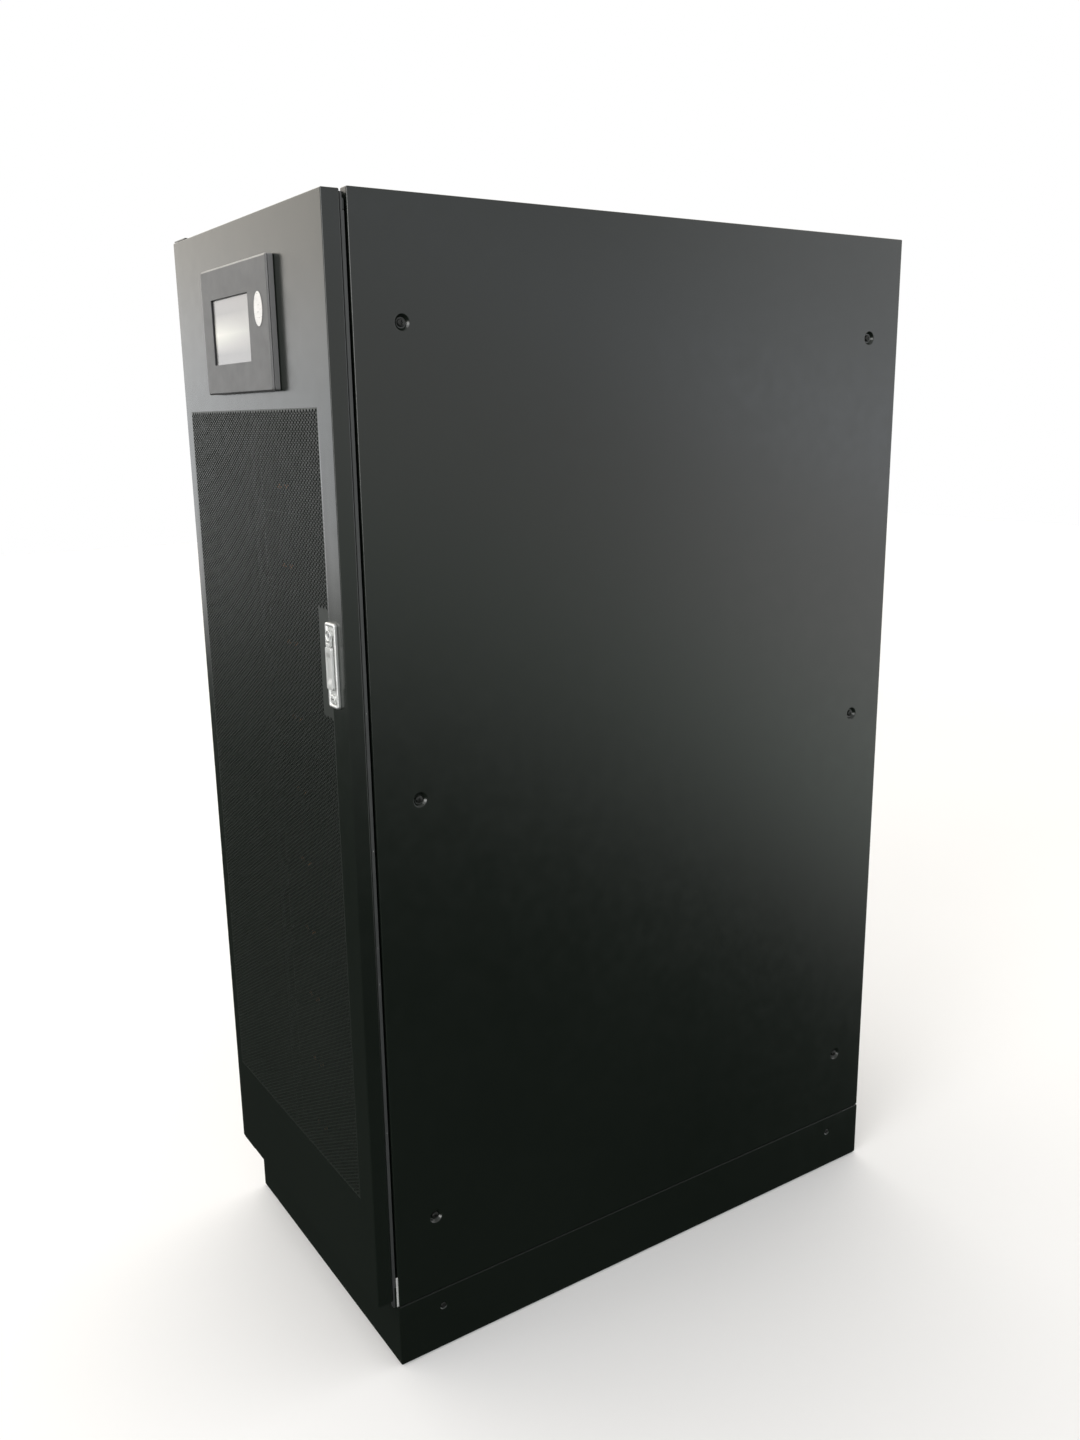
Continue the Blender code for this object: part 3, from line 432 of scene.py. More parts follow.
def placed(name, mesh, body, slot, replaces=()):
    made = linked(name, mesh)
    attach(made, body)
    if replaces:
        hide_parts(*replaces)
    return made


def standing_for(name, mesh, node):
    return placed(name, mesh, NODES[node]["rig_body"], SLOT_OF[node], (node,))


def assemble(name, parts, node=None, angle=38.0, slot="zinc_steel"):
    """One piece from (shape, finish) parts, that stands for a node or is added to the cabinet."""
    mats = list(dict.fromkeys(mat for _, mat in parts))
    mesh = as_mesh(name, merged(shape for shape, _ in parts))
    mesh.polygons.foreach_set("material_index", [mats.index(mat) for shape, mat in parts for _ in shape[1]])
    for mat in mats:
        mesh.materials.append(mat)
    with opened(mesh) as bm:
        bmesh.ops.remove_doubles(bm, verts=bm.verts, dist=1e-7)
        bmesh.ops.recalc_face_normals(bm, faces=bm.faces)
    made = standing_for(name, mesh, node) if node else placed(name, mesh, "cabinet", slot)
    mesh.shade_smooth()
    shaded(made, angle)


def carve(shape, tool):
    """Cut one closed shape out of another."""
    made = []
    for closed in (shape, tool):
        mesh = as_mesh("carving", closed)
        with opened(mesh) as bm:
            bmesh.ops.recalc_face_normals(bm, faces=bm.faces)
        made.append(linked("carving", mesh))
    target, cutter = made
    modifier = target.modifiers.new("cut", "BOOLEAN")
    modifier.object = cutter
    modifier.solver = "EXACT"
    bpy.context.view_layer.update()
    result = bpy.data.meshes.new_from_object(target.evaluated_get(bpy.context.evaluated_depsgraph_get()))
    shape = ([v.co.copy() for v in result.vertices], [list(p.vertices) for p in result.polygons])
    for item in made:
        bpy.data.objects.remove(item, do_unlink=True)
    return shape


def merged(shapes):
    points, faces = [], []
    for part_points, part_faces in shapes:
        start = len(points)
        points += list(part_points)
        faces += [[i + start for i in face] for face in part_faces]
    return points, faces


def moved(shape, matrix):
    return [matrix @ Vector(p) for p in shape[0]], shape[1]


def refined(node, width=0.0005, segments=2, mat=None):
    """The node's own solid with its edges rounded, as a piece that stands for it."""
    mesh = NODES[node].data.copy()
    mesh.name = node + "_piece"
    with opened(mesh) as bm:
        bmesh.ops.remove_doubles(bm, verts=bm.verts, dist=1e-6)
        bmesh.ops.dissolve_limit(bm, angle_limit=radians(1.0), verts=bm.verts, edges=bm.edges)
        bmesh.ops.recalc_face_normals(bm, faces=bm.faces)
    mesh.materials.clear()
    mesh.materials.append(mat or FINISHES[SLOT_OF[node]])
    made = standing_for(node + "_piece", mesh, node)
    mesh.shade_smooth()
    bevel = made.modifiers.new("edges", "BEVEL")
    bevel.width = width
    bevel.segments = segments
    bevel.limit_method = "ANGLE"
    bevel.angle_limit = radians(28.0)
    bevel.use_clamp_overlap = True
    shaded(made, 50.0, keep_sharp=False)


# Folded sheet covers


def tray_ring(u, v, inset, corner, w, cuts, place):
    """Points round a tray at one depth, with extra ones where the cut lines meet the edge."""
    u0, u1 = u[0] + inset, u[1] - inset
    v0, v1 = v[0] + inset, v[1] - inset
    corners = ((u0 + corner, v0 + corner, 180), (u1 - corner, v0 + corner, 270),
               (u1 - corner, v1 - corner, 0), (u0 + corner, v1 - corner, 90))
    sides = ([(c, v0) for c in cuts[0]], [(u1, c) for c in cuts[1]],
             [(c, v1) for c in cuts[0][::-1]], [(u0, c) for c in cuts[1][::-1]])
    points = []
    for (centre_u, centre_v, start), side in zip(corners, sides):
        arc = corner_arc(centre_u, centre_v, corner, start, ARC_STEPS)
        points += [place(a, b, w) for a, b in arc + side]
    return points


def dimple_cell(centre, square, profile, place):
    """A square of the face with a pressed round recess in it."""
    u, v = centre
    steps = DIMPLE_STEPS
    points = []
    for radius, depth in profile:
        for i in range(steps):
            angle = 2 * pi * (i / steps + 0.125)
            points.append(place(u + radius * cos(angle), v + radius * sin(angle), depth))
    first = len(points)
    faces = bands(steps, len(profile) - 1)
    faces.append(list(range(first - steps, first)))
    share = steps // 4
    for q, (su, sv) in enumerate(((1, 1), (-1, 1), (-1, -1), (1, -1))):
        points.append(place(u + su * square, v + sv * square, 0.0))
        arc = [(q * share + k) % steps for k in range(share + 1)]
        faces.append([first + q, first + (q + 1) % 4] + arc[::-1])
    return points, faces


def face_cells(u_lines, v_lines, holes, dimples, square, profile, place):
    """A flat face as a grid of cells, with its openings left out and its recesses pressed in."""
    shapes = []
    for u0, u1 in zip(u_lines, u_lines[1:]):
        for v0, v1 in zip(v_lines, v_lines[1:]):
            mid = ((u0 + u1) / 2, (v0 + v1) / 2)
            if any(h[0] < mid[0] < h[1] and h[2] < mid[1] < h[3] for h in holes):
                continue
            pressed = [c for c in dimples if abs(c[0] - mid[0]) < square and abs(c[1] - mid[1]) < square]
            if pressed:
                shapes.append(dimple_cell(pressed[0], square, profile, place))
                continue
            corners = [place(u0, v0, 0), place(u1, v0, 0), place(u1, v1, 0), place(u0, v1, 0)]
            shapes.append((corners, [[0, 1, 2, 3]]))
    return shapes


def tray_shape(u, v, depth, lip, bend, place, holes=(), dimples=()):
    """The outer skin of a folded cover: face, rounded bends, walls and a lip, with openings and recesses."""
    square = DIMPLE_SQUARE
    cuts = []
    for n in (0, 1):
        beside = {d[n] + s * square for d in dimples for s in (-1, 1)}
        cuts.append(sorted({c for h in holes for c in h[2 * n:2 * n + 2]} | beside))
    rings = [tray_ring(u, v, bend * (1 - sin(a)), bend * sin(a), bend * (1 - cos(a)), cuts, place)
             for a in quarter(ARC_STEPS)]
    rings += [tray_ring(u, v, bend * (1 - cos(a)), bend * cos(a), depth - bend * (1 - sin(a)), cuts, place)
              for a in quarter(ARC_STEPS)]
    rings.append(tray_ring(u, v, lip, 0.0, depth, cuts, place))
    u_lines = [u[0] + bend, *cuts[0], u[1] - bend]
    v_lines = [v[0] + bend, *cuts[1], v[1] - bend]
    cells = face_cells(u_lines, v_lines, holes, dimples, square, DIMPLE, place)
    return merged([skinned(rings, (False, False))] + cells)


def sheet_piece(name, shape, outward, node, thickness=SHEET):
    """Give a skin its sheet thickness, inwards."""
    mesh = as_mesh(name, shape)
    mesh.materials.append(POWDER)
    with opened(mesh) as bm:
        bmesh.ops.remove_doubles(bm, verts=bm.verts, dist=2e-6)
        bmesh.ops.dissolve_degenerate(bm, dist=1e-7, edges=bm.edges)
        bmesh.ops.recalc_face_normals(bm, faces=bm.faces)
        largest = max(bm.faces, key=lambda f: f.calc_area())
        if largest.normal.dot(Vector(outward)) < 0:
            bmesh.ops.reverse_faces(bm, faces=bm.faces)
    made = standing_for(name, mesh, node)
    mesh.shade_smooth()
    solid = made.modifiers.new("sheet", "SOLIDIFY")
    solid.thickness = thickness
    solid.offset = -1.0
    solid.use_even_offset = True
    solid.use_quality_normals = True
    shaded(made, 50.0, weight=80)


# Screws


def cross_slots(radius, depth):
    """Tool that presses a cross recess into a screw head facing +Z."""
    bars = []
    for turn in (0.0, pi / 2):
        rings = []
        for shrink, z in ((1.0, 0.001), (1.0, 0.0), (0.55, -depth)):
            ring = [Vector((x * radius * shrink, y * 0.0007 * (0.6 + 0.4 * shrink), z))
                    for x, y in ((-1, -1), (1, -1), (1, 1), (-1, 1))]
            rings.append([Matrix.Rotation(turn, 3, "Z") @ p for p in ring])
        bars.append(skinned(rings))
    return bars


def screw_head(radius, height, crown):
    """A pan head with a cross recess, its seat at z 0."""
    profile = [(radius, -0.0004), (radius, height * 0.35)]
    for angle in quarter(6)[1:]:
        profile.append((radius * (1 - 0.24 * (1 - cos(angle)) - 0.02), height * (0.35 + 0.5 * sin(angle))))
    profile += [(radius * 0.45, height * 0.97), (radius * 0.08, height)]
    head = turned(profile, (0, 0, 0), 32, "Z")
    for bar in cross_slots(radius * 0.62, height * 0.75):
        head = carve(head, moved(bar, Matrix.Translation((0, 0, height - crown))))
    return head


COVER_SCREW = screw_head(0.0056, 0.003, 0.0001)
SKIRT_SCREW = screw_head(0.0044, 0.001, 0.00005)
SMALL_SCREW = screw_head(0.0035, 0.0018, 0.00005)


def screw_at(head, place, outward, spin):
    turn = Vector((0, 0, 1)).rotation_difference(Vector(outward)).to_matrix().to_4x4()
    return moved(head, Matrix.Translation(place) @ turn @ Matrix.Rotation(spin, 4, "Z"))


def screws(name, head, places, outward):
    parts = [(screw_at(head, p, outward, random.uniform(0, pi)), SCREW) for p in places]
    assemble(name, parts)


# Cabinet


def upright(node, outward):
    """Edges of an upright sheet along its face and up, its depth, and what puts points on it."""
    low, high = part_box(node)
    through = 0 if outward[0] else 1
    outer = (high if outward[through] > 0 else low)[through]

    def place(a, b, w):
        point = [a, a, b]
        point[through] = outer - outward[through] * w
        return Vector(point)

    along = (low[1 - through], high[1 - through])
    return along, (low.z, high.z), high[through] - low[through], place


def covers():
    """Side and rear covers, each with a column of sunk screws near both edges."""
    for node, outward in (("left_side_cover", LEFT), ("right_side_cover", RIGHT), ("rear_cover", BACK)):
        u, v, depth, place = upright(node, outward)
        places = [(a, b) for a in (u[0] + COVER_SCREW_INSET, u[1] - COVER_SCREW_INSET) for b in COVER_SCREW_Z]
        shape = tray_shape(u, v, depth, COVER_LIP, COVER_BEND, place, dimples=places)
        sheet_piece(node + "_sheet", shape, outward, node)
        screws(node + "_screws", COVER_SCREW, [place(a, b, DIMPLE[-1][1]) for a, b in places], outward)


def plinth():
    """Four skirts, each with a sunk screw near both ends, on the ring they cover."""
    refined("base_frame", 0.0008)
    for node, outward, inset in (("left_skirt", LEFT, SKIRT_INSET_REAR), ("right_skirt", RIGHT, SKIRT_INSET_REAR),
                                 ("front_skirt", AHEAD, SKIRT_INSET), ("rear_skirt", BACK, SKIRT_INSET)):
        u, v, _, place = upright(node, outward)
        skirt(node, u, v, [(u[0] + SKIRT_INSET, SKIRT_SCREW_Z), (u[1] - inset, SKIRT_SCREW_Z)], place, outward)


def skirt(node, u, v, places, place, outward):
    square = 0.009
    edge = 0.0004
    u_lines = sorted([u[0] + edge, u[1] - edge] + [c + s * square for c, _ in places for s in (-1, 1)])
    v_lines = sorted([v[0] + edge, v[1] - edge] + [places[0][1] + s * square for s in (-1, 1)])
    cuts = (u_lines[1:-1], v_lines[1:-1])
    rings = [tray_ring(u, v, inset, 0.0, w, cuts, place) for inset, w in ((edge, 0.0), (0.0, edge), (0.0, 0.0008))]
    cells = face_cells(u_lines, v_lines, (), places, square, SKIRT_DIMPLE, place)
    shape = merged(cells + [skinned(rings, (False, False))])
    sheet_piece(node + "_sheet", shape, outward, node, thickness=0.0006)
    screws(node + "_screws", SKIRT_SCREW, [place(a, b, SKIRT_DIMPLE[-1][1]) for a, b in places], outward)


def frame_members():
    for node in ("post_front_left", "post_front_right"):
        # The front posts take the lighter powder: painted light on their lip
        refined(node, mat=LIP_POWDER_LIT)
    for node in ("post_rear_left", "post_rear_right", "floor_tray", "cable_gland_plate"):
        refined(node)
    for node in ("rack_rail_left", "rack_rail_right", "module_guide_left", "module_guide_right"):
        refined(node, FINE_EDGE)
    for node in ("hinge_bracket_upper", "hinge_bracket_lower"):
        refined(node, 0.0009, 3)
    for node in ("hinge_pin_upper", "hinge_pin_lower"):
        refined(node, 0.0003)
    refined("roof_tray", 0.0007)


def frame_edges():
    """Paint nicks and a bead along the frame's front edge, the bead lighter as painted light, and the bright foot of
    each side cover's edge.
    """
    lip_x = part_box("post_front_right")[1].x
    parts = []
    for z, size in NICKS:
        y = FRONT + EDGE_BACK + random.uniform(0.0002, 0.0014)
        ring = []
        for angle in around(9):
            reach = size * random.uniform(0.55, 1.0)
            ring.append((y + reach * 0.6 * cos(angle), z + reach * 1.5 * sin(angle)))
        parts.append((skinned([[Vector((lip_x + x, a, b)) for a, b in ring] for x in (-0.0002, 0.00012)]), PRIMER))
    assemble("frame_edge_nicks", parts, slot="powder_black")
    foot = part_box("floor_tray")[0].z + 0.004
    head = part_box("roof_tray")[1].z - 0.004
    bead = block((lip_x - 0.01, FRONT + 0.0271, foot), (lip_x + 0.0003, FRONT + 0.03, head))
    # The bead takes the lighter powder: painted light along the frame's front edge
    assemble("latch_edge_bead", [(bead, LIP_POWDER_LIT)], slot="powder_black")
    for side, word in ((-1, "left"), (1, "right")):
        tab = block((side * (lip_x - 0.0016), COVER_LOW.y - 0.003, COVER_LOW.z + 0.001),
                    (side * (lip_x - 0.0002), COVER_LOW.y + 0.0012, TAB_TOP), 0.0003)
        assemble("cover_tab_" + word, [(tab, PRIMER)])


# Door


def door_leaf():
    u, v, depth, place = upright("door_shell", AHEAD)
    bezel_low, bezel_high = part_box("display_bezel")
    mid = (bezel_low.x + bezel_high.x) / 2
    plate_low, plate_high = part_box("handle_plate")
    cable = (mid - 0.015, mid + 0.015, bezel_low.z + 0.02, bezel_low.z + 0.05)
    handle_hole = (plate_low.x + 0.0072, plate_high.x - 0.0072, plate_low.z + 0.004, plate_high.z - 0.006)
    shape = tray_shape(u, v, depth, DOOR_LIP, DOOR_BEND, place, (field_box(), cable, handle_hole))
    sheet_piece("door_leaf", shape, AHEAD, "door_shell")


def field_box():
    """The perforated field's edges."""
    low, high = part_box("door_mesh")
    return low.x - GAP, high.x + GAP, low.z - GAP, high.z + GAP


def field_notch():
    """Where the field steps back beside the handle: its x, and its lower and upper z."""
    low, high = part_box("door_mesh")
    inner = [v.co for v in NODES["door_mesh"].data.vertices if low.x + 0.01 < v.co.x < high.x - 0.01]
    return inner[0].x, min(p.z for p in inner), max(p.z for p in inner)


def perforated_field():
    """Hexagonal holes in staggered columns, as closed sheets that meet along their webs."""
    x0, x1, z0, z1 = field_box()
    notch_x, notch_low, notch_high = field_notch()
    step = PITCH * cos(pi / 6)
    reach = HOLE_FLAT / 2 / cos(pi / 6)
    columns = int((x1 - x0 - 2 * FIELD_MARGIN - 2 * reach) / step) // 2 * 2 + 2
    rows = int((z1 - z0 - 2 * FIELD_MARGIN - HOLE_FLAT - PITCH / 2) / PITCH) + 1
    first_x = (x0 + x1) / 2 - (columns - 1) / 2 * step
    first_z = (z0 + z1) / 2 - ((rows - 1) * PITCH + PITCH / 2) / 2
    points = []
    for i in range(columns):
        x = first_x + i * step
        for j in range(rows):
            z = first_z + j * PITCH + (PITCH / 2 if i % 2 else 0.0)
            points += [(x + reach * cos(pi / 3 * k), z + reach * sin(pi / 3 * k)) for k in range(6)]

    def at(i, j, k):
        return (i * rows + j) * 6 + k

    faces = []
    for i in range(columns):
        for j in range(rows):
            x, z = points[at(i, j, 0)]
            if x > notch_x and notch_low - reach < z < notch_high + reach:
                faces.append((j, [at(i, j, k) for k in range(6)]))
            right, up = i + 1, j + 1
            above = j + i % 2
            below = above - 1
            to_up = up < rows
            to_above = right < columns and above < rows
            to_below = right < columns and below >= 0
            webs = ((to_up, ((i, j, 2), (i, j, 1), (i, up, 5), (i, up, 4))),
                    (to_above, ((i, j, 0), (right, above, 4), (right, above, 3), (i, j, 1))),
                    (to_below, ((i, j, 5), (right, below, 3), (right, below, 2), (i, j, 0))),
                    (to_up and to_above, ((i, j, 1), (right, above, 3), (i, up, 5))),
                    (to_above and to_below, ((i, j, 0), (right, below, 2), (right, above, 4))))
            faces += [(j, [at(*corner) for corner in web]) for fits, web in webs if fits]
    last_i, last_j = columns - 1, rows - 1
    chains = ([(j, at(0, j, k)) for j in range(rows) for k in (4, 3, 2)],
              [(j, at(last_i, j, k)) for j in range(rows) for k in (5, 0, 1)],
              [(0, at(i, 0, k)) for i in range(columns) for k in ((4, 5) if i % 2 else (3, 4, 5, 0))][1:],
              [(last_j, at(i, last_j, k)) for i in range(columns) for k in ((3, 2, 1, 0) if i % 2 else (2, 1))][:-1])
    edges = []
    for side, (chain, edge) in enumerate(zip(chains, (x0, x1, z0, z1))):
        numbers = list(range(len(points), len(points) + len(chain)))
        points += [(edge, points[i][1]) if side < 2 else (points[i][0], edge) for _, i in chain]
        for (row, a), (_, b), c, d in zip(chain, chain[1:], numbers, numbers[1:]):
            faces.append((row, [c, a, b, d] if side in (0, 3) else [a, c, d, b]))
        edges.append(numbers)
    left, right, bottom, top = edges
    for x, z, one, two, side, end in ((x0, z0, left[0], bottom[0], 0, 0), (x1, z0, bottom[-1], right[0], 1, 0),
                                      (x1, z1, right[-1], top[-1], 1, -1), (x0, z1, top[0], left[-1], 0, -1)):
        points.append((x, z))
        row, shared = chains[side][end]
        faces.append((row, [len(points) - 1, two, shared, one]))
    share = ceil(rows / SHEET_PARTS)
    for part in range(SHEET_PARTS):
        chosen = [face for row, face in faces if row // share == part]
        sheet_part("door_perforation_" + str(part + 1), points, chosen, ("door_mesh",) if part == 0 else ())


def round_trip(face):
    """The edges of a polygon, as pairs of its corners."""
    return list(zip(face, face[1:] + face[:1]))


def sheet_part(name, flat, faces, replaces):
    """Give flat polygons in the door's plane a thickness, with walls along every free edge."""
    used = sorted({i for face in faces for i in face})
    index = {old: new for new, old in enumerate(used)}
    count = len(used)
    points = [(flat[i][0], FRONT + w, flat[i][1]) for w in (0.0, SHEET) for i in used]
    fronts = []
    for face in faces:
        area = sum(flat[a][0] * flat[b][1] - flat[b][0] * flat[a][1] for a, b in round_trip(face))
        local = [index[i] for i in face]
        fronts.append(local if area > 0 else local[::-1])
    directed = {edge for face in fronts for edge in round_trip(face)}
    backs = [[i + count for i in face[::-1]] for face in fronts]
    walls = [[b, a, a + count, b + count] for a, b in directed if (b, a) not in directed]
    mesh = as_mesh(name, (points, fronts + backs + sorted(walls)))
    mesh.materials.append(MESH_POWDER)
    placed(name, mesh, "door", "powder_mesh", replaces)


# Display


def display():
    low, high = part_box("display_bezel")
    screen_low, screen_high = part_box("touch_screen")
    size = face_size(low, high)
    proud = FRONT - low.y
    back = FRONT - high.y
    slant = 0.002
    groove = 0.0024
    outside = [(slant + 0.001, proud), (slant + 0.0003, proud - 0.00003), (slant - 0.0001, proud - 0.00018),
               (0.00018, proud - slant + 0.0001), (0.00003, proud - slant - 0.0003), (0.0, back + 0.0002),
               (0.0003, back), (groove, back)]
    rings = plate_rings(size, DISPLAY_CORNER, outside)
    for ring in rings[:3]:
        for point in ring[len(ring) // 2:]:
            point.z -= TOP_SLOPE
    points, faces = skinned(rings, (False, False))
    count = len(rings[0])
    # Faces of the top chamfer, which take the painted highlight
    top_highlight = [count * k + count * 3 // 4 - 1 for k in (1, 2)]
    front = [face for i, face in enumerate(faces[:3 * count]) if i not in top_highlight]
    face, walls = window_face(rings[0], screen_low, screen_high, proud)
    # The front in the bezel's grey, the top chamfer with its painted highlight, the side walls lighter as painted
    # light
    parts = [((points, front), BEZEL), ((points, [faces[i] for i in top_highlight]), BEZEL_TOP_HIGHLIGHT),
             ((points, faces[3 * count:]), SIDE_LIT_SHELL), (face, BEZEL), (walls, SWITCH)]
    assemble("display_frame", parts, "display_bezel", 50.0)
    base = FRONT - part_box("display_housing")[1].y
    step = back - 0.0013
    steps = [(groove, base), (0.001, base), (0.0004, base + 0.0006), (0.0004, step - 0.0006),
             (0.0007, step - 0.0002), (0.0012, step), (groove, step), (groove, back - GAP), (0.006, back - GAP),
             (0.006, base + 0.002)]
    case = skinned(plate_rings(size, DISPLAY_CORNER, steps))
    # The case takes the lighter side finish, painted light
    assemble("display_case", [(case, SIDE_LIT_SHELL)], "display_housing")
    refined("display_board", 0.0002)
    refined("touch_screen", 0.0004)
    badge()


def window_face(outer, low, high, proud):
    """The frame's face round the screen's window, and the window's sloping sides and a band round the screen, both
    black as painted shade in the recess; the band is wider at the left and top, as a painted shadow.
    """
    (centre_x, centre_z), half_u, half_v = face_size(low, high)
    half_u -= WINDOW_MARGIN
    half_v -= WINDOW_MARGIN
    floor_ahead = FRONT - low.y + 0.0001
    rings = []
    for grow, ahead in ((WINDOW_LEAN, proud), (WINDOW_LEAN * 0.6, proud - 0.0002),
                        (WINDOW_LEAN * 0.4, proud - 0.0007), (0.0, floor_ahead)):
        outline = rounded_outline(half_u + grow, half_v + grow, WINDOW_CORNER + grow)
        rings.append(on_face((centre_x, centre_z), outline, ahead))
    # Black band round the screen, wider at the left and top: painted shadow
    outline = rounded_outline(half_u - SHADOW_BAND_LEFT / 2, half_v - SHADOW_BAND_TOP / 2, WINDOW_CORNER)
    rings.append(on_face((centre_x + SHADOW_BAND_LEFT / 2, centre_z - SHADOW_BAND_TOP / 2), outline, floor_ahead))
    return skinned([outer] + rings[:3], (False, False)), skinned(rings[2:], (False, False))


def badge():
    """A blank oval with a domed face."""
    low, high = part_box("oval_badge")
    centre, half_u, half_v = face_size(low, high)
    proud = FRONT - low.y
    base = FRONT - high.y
    steps = [(1.0, base), (1.0, base + 0.0003), (0.985, proud - 0.00022), (0.95, proud - 0.00008), (0.9, proud),
             (0.86, proud - 0.0001), (0.83, proud - 0.00022), (0.5, proud - 0.00012), (0.1, proud - 0.00005)]
    rings = [on_face(centre, [(half_u * scale * cos(a), half_v * scale * sin(a)) for a in around(48)], ahead)
             for scale, ahead in steps]
    assemble("oval_trim", [(skinned(rings), BADGE)], "oval_badge", 60.0)


# Handle


def handle():
    """Bright escutcheon with a raised rim, pull-out paddle, spindle head and key barrel."""
    low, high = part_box("handle_plate")
    face = FRONT - low.y
    steps = [(0.0, GAP), (0.0, face - 0.0018), (0.0003, face - 0.0009), (0.001, face - 0.0002),
             (0.0019, face), (0.0034, face), (0.0042, face - 0.0003), (0.005, face - 0.0012),
             (0.0056, face - 0.0022), (0.0064, face - 0.0025)]
    rings = plate_rings(face_size(low, high), 0.0042, steps)
    parts = [(skinned(rings[:-2], (True, False)), CHROME), (skinned(rings[-3:], (False, True)), CHROME_SATIN)]
    assemble("handle_escutcheon", parts, "handle_plate", 60.0)
    spindle_head()
    paddle()
    key_barrel()


def spindle_head():
    """A ringed boss with a fork and a pin for the paddle, and the cam behind the door."""
    low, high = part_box("handle_spindle")
    x = (low.x + high.x) / 2
    front = FRONT - low.y
    radius = 0.0085
    z = high.z - (high.x - low.x) / 2
    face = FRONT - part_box("handle_plate")[0].y + GAP
    profile = [(0.006, -0.016), (0.006, face - 0.0004), (radius - 0.0003, face), (radius, face + 0.0003),
               (radius, front - 0.0007), (radius - 0.0006, front - 0.0001), (radius - 0.0014, front),
               (radius - 0.0021, front - 0.0004), (radius - 0.0026, front - 0.0016), (0.0004, front - 0.002)]
    cam = [(0.006, 0.0136), (0.0136, 0.0138), (0.014, 0.0142), (0.014, 0.0166), (0.0136, 0.017), (0.003, 0.017)]
    parts = [(turned([(r, -a) for r, a in profile], (x, FRONT, z), 40), CHROME_SATIN),
             (turned(cam, (x, FRONT, z), 40), ZINC)]
    pin_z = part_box("handle_lever")[1].z - PIN_DROP
    for side in (-1, 1):
        prong = block((x + side * 0.00545, FRONT - front + 0.0002, pin_z - 0.0022),
                      (x + side * 0.0082, FRONT - face - 0.0002, z - 0.002), 0.0004)
        parts.append((prong, CHROME))
    parts.append((turned([(0.001, -0.0064), (0.001, 0.0064)], (x, FRONT - PIN_AHEAD, pin_z), 16, "X"), ZINC))
    plug = [(0.003, -0.0002), (0.0028, 0.0), (0.0016, 0.00005)]
    parts.append((turned(plug, (x, FRONT - front + 0.0019, z), 24), ZINC))
    assemble("handle_pivot", parts, "handle_spindle", 45.0)


def paddle():
    """Long lever with a dished grip between two sloping ends."""
    low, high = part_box("handle_lever")
    x = (low.x + high.x) / 2
    half = (high.x - low.x) / 2
    back = high.y
    front = low.y
    top = high.z - 0.004 - PIN_DROP
    bottom = low.z
    length = top - bottom
    rows = 44
    columns = 18
    rings = []
    for i in range(rows + 1):
        t = i / rows
        z = bottom + length * t
        near = min(t, 1 - t) * length
        width = half - 0.0022 * max(0.0, 1 - near / 0.003) ** 2
        lift = 1.0 - 0.55 * max(0.0, 1 - near / 0.0016) ** 2
        end = min(1.0, max(0.0, (near - 0.0065) / 0.011))
        slope = end * end * (3 - 2 * end)
        ring = []
        for k in range(columns + 1):
            s = -1 + 2 * k / columns
            edge = 1 - max(0.0, (abs(s) - 0.88) / 0.12) ** 2 * 0.5
            dish = 0.0019 * slope * max(0.0, 1 - (abs(s) / 0.72) ** 4)
            ring.append(Vector((x + width * s, back + (front - back) * lift * edge + dish, z)))
        ring += [Vector((x + width * s, back, z)) for s in (1.0, -1.0)]
        rings.append(ring)
    neck = 0.0052
    pivot_y = FRONT - PIN_AHEAD
    pivot_z = high.z - PIN_DROP
    neck_bar = block((x - neck, pivot_y - 0.0016, top - 0.001), (x + neck, pivot_y + 0.0016, pivot_z), 0.0003)
    eye = turned([(0.0017, -neck), (0.0017, neck)], (x, pivot_y, pivot_z), 20, "X")
    parts = [(shape, CHROME_SATIN) for shape in (skinned(rings), neck_bar, eye)]
    assemble("handle_paddle", parts, "handle_lever", 42.0)


def key_barrel():
    low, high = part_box("lock_cylinder")
    (x, z), radius, _ = face_size(low, high)
    profile = [(radius, high.y), (radius, low.y + 0.0008), (radius - 0.0003, low.y + 0.0003),
               (radius - 0.0009, low.y), (radius - 0.0022, low.y + 0.0001), (0.0004, low.y + 0.0001)]
    # A slot across the barrel, and a black block sunk in its bottom: painted shade in the keyway
    slot, dark = [block((x - 0.0046, low.y + near, z - 0.0011), (x + 0.0046, low.y + far, z + 0.0011), rounding)
                  for near, far, rounding in ((-0.001, 0.0035, 0.0003), (0.0022, 0.0034, 0.0001))]
    parts = [(carve(turned(profile, (x, 0.0, z), 40), slot), CHROME), (dark, SWITCH)]
    assemble("key_barrel", parts, "lock_cylinder", 45.0)


def door_inside():
    for node in ("lock_rod_upper", "lock_rod_lower", "rod_guide_upper", "rod_guide_lower"):
        refined(node, FINE_EDGE)
    refined("door_gasket", 0.0006, 3)


# Rack units


def grab_handle(x, face, middle):
    """A bent bar with a foot at both ends."""
    bend = [(HANDLE_BEND * (1 - sin(a)), HANDLE_BEND * (1 - cos(a))) for a in quarter(6)]
    path = [(x, face + 0.001, middle - HANDLE_HALF)]
    path += [(x, face - HANDLE_REACH + out, middle - HANDLE_HALF + up) for out, up in bend]
    path += [(x, face - HANDLE_REACH + out, middle + HANDLE_HALF - up) for up, out in bend]
    path.append((x, face + 0.001, middle + HANDLE_HALF))
    return pipe(path, 0.0042, 14)


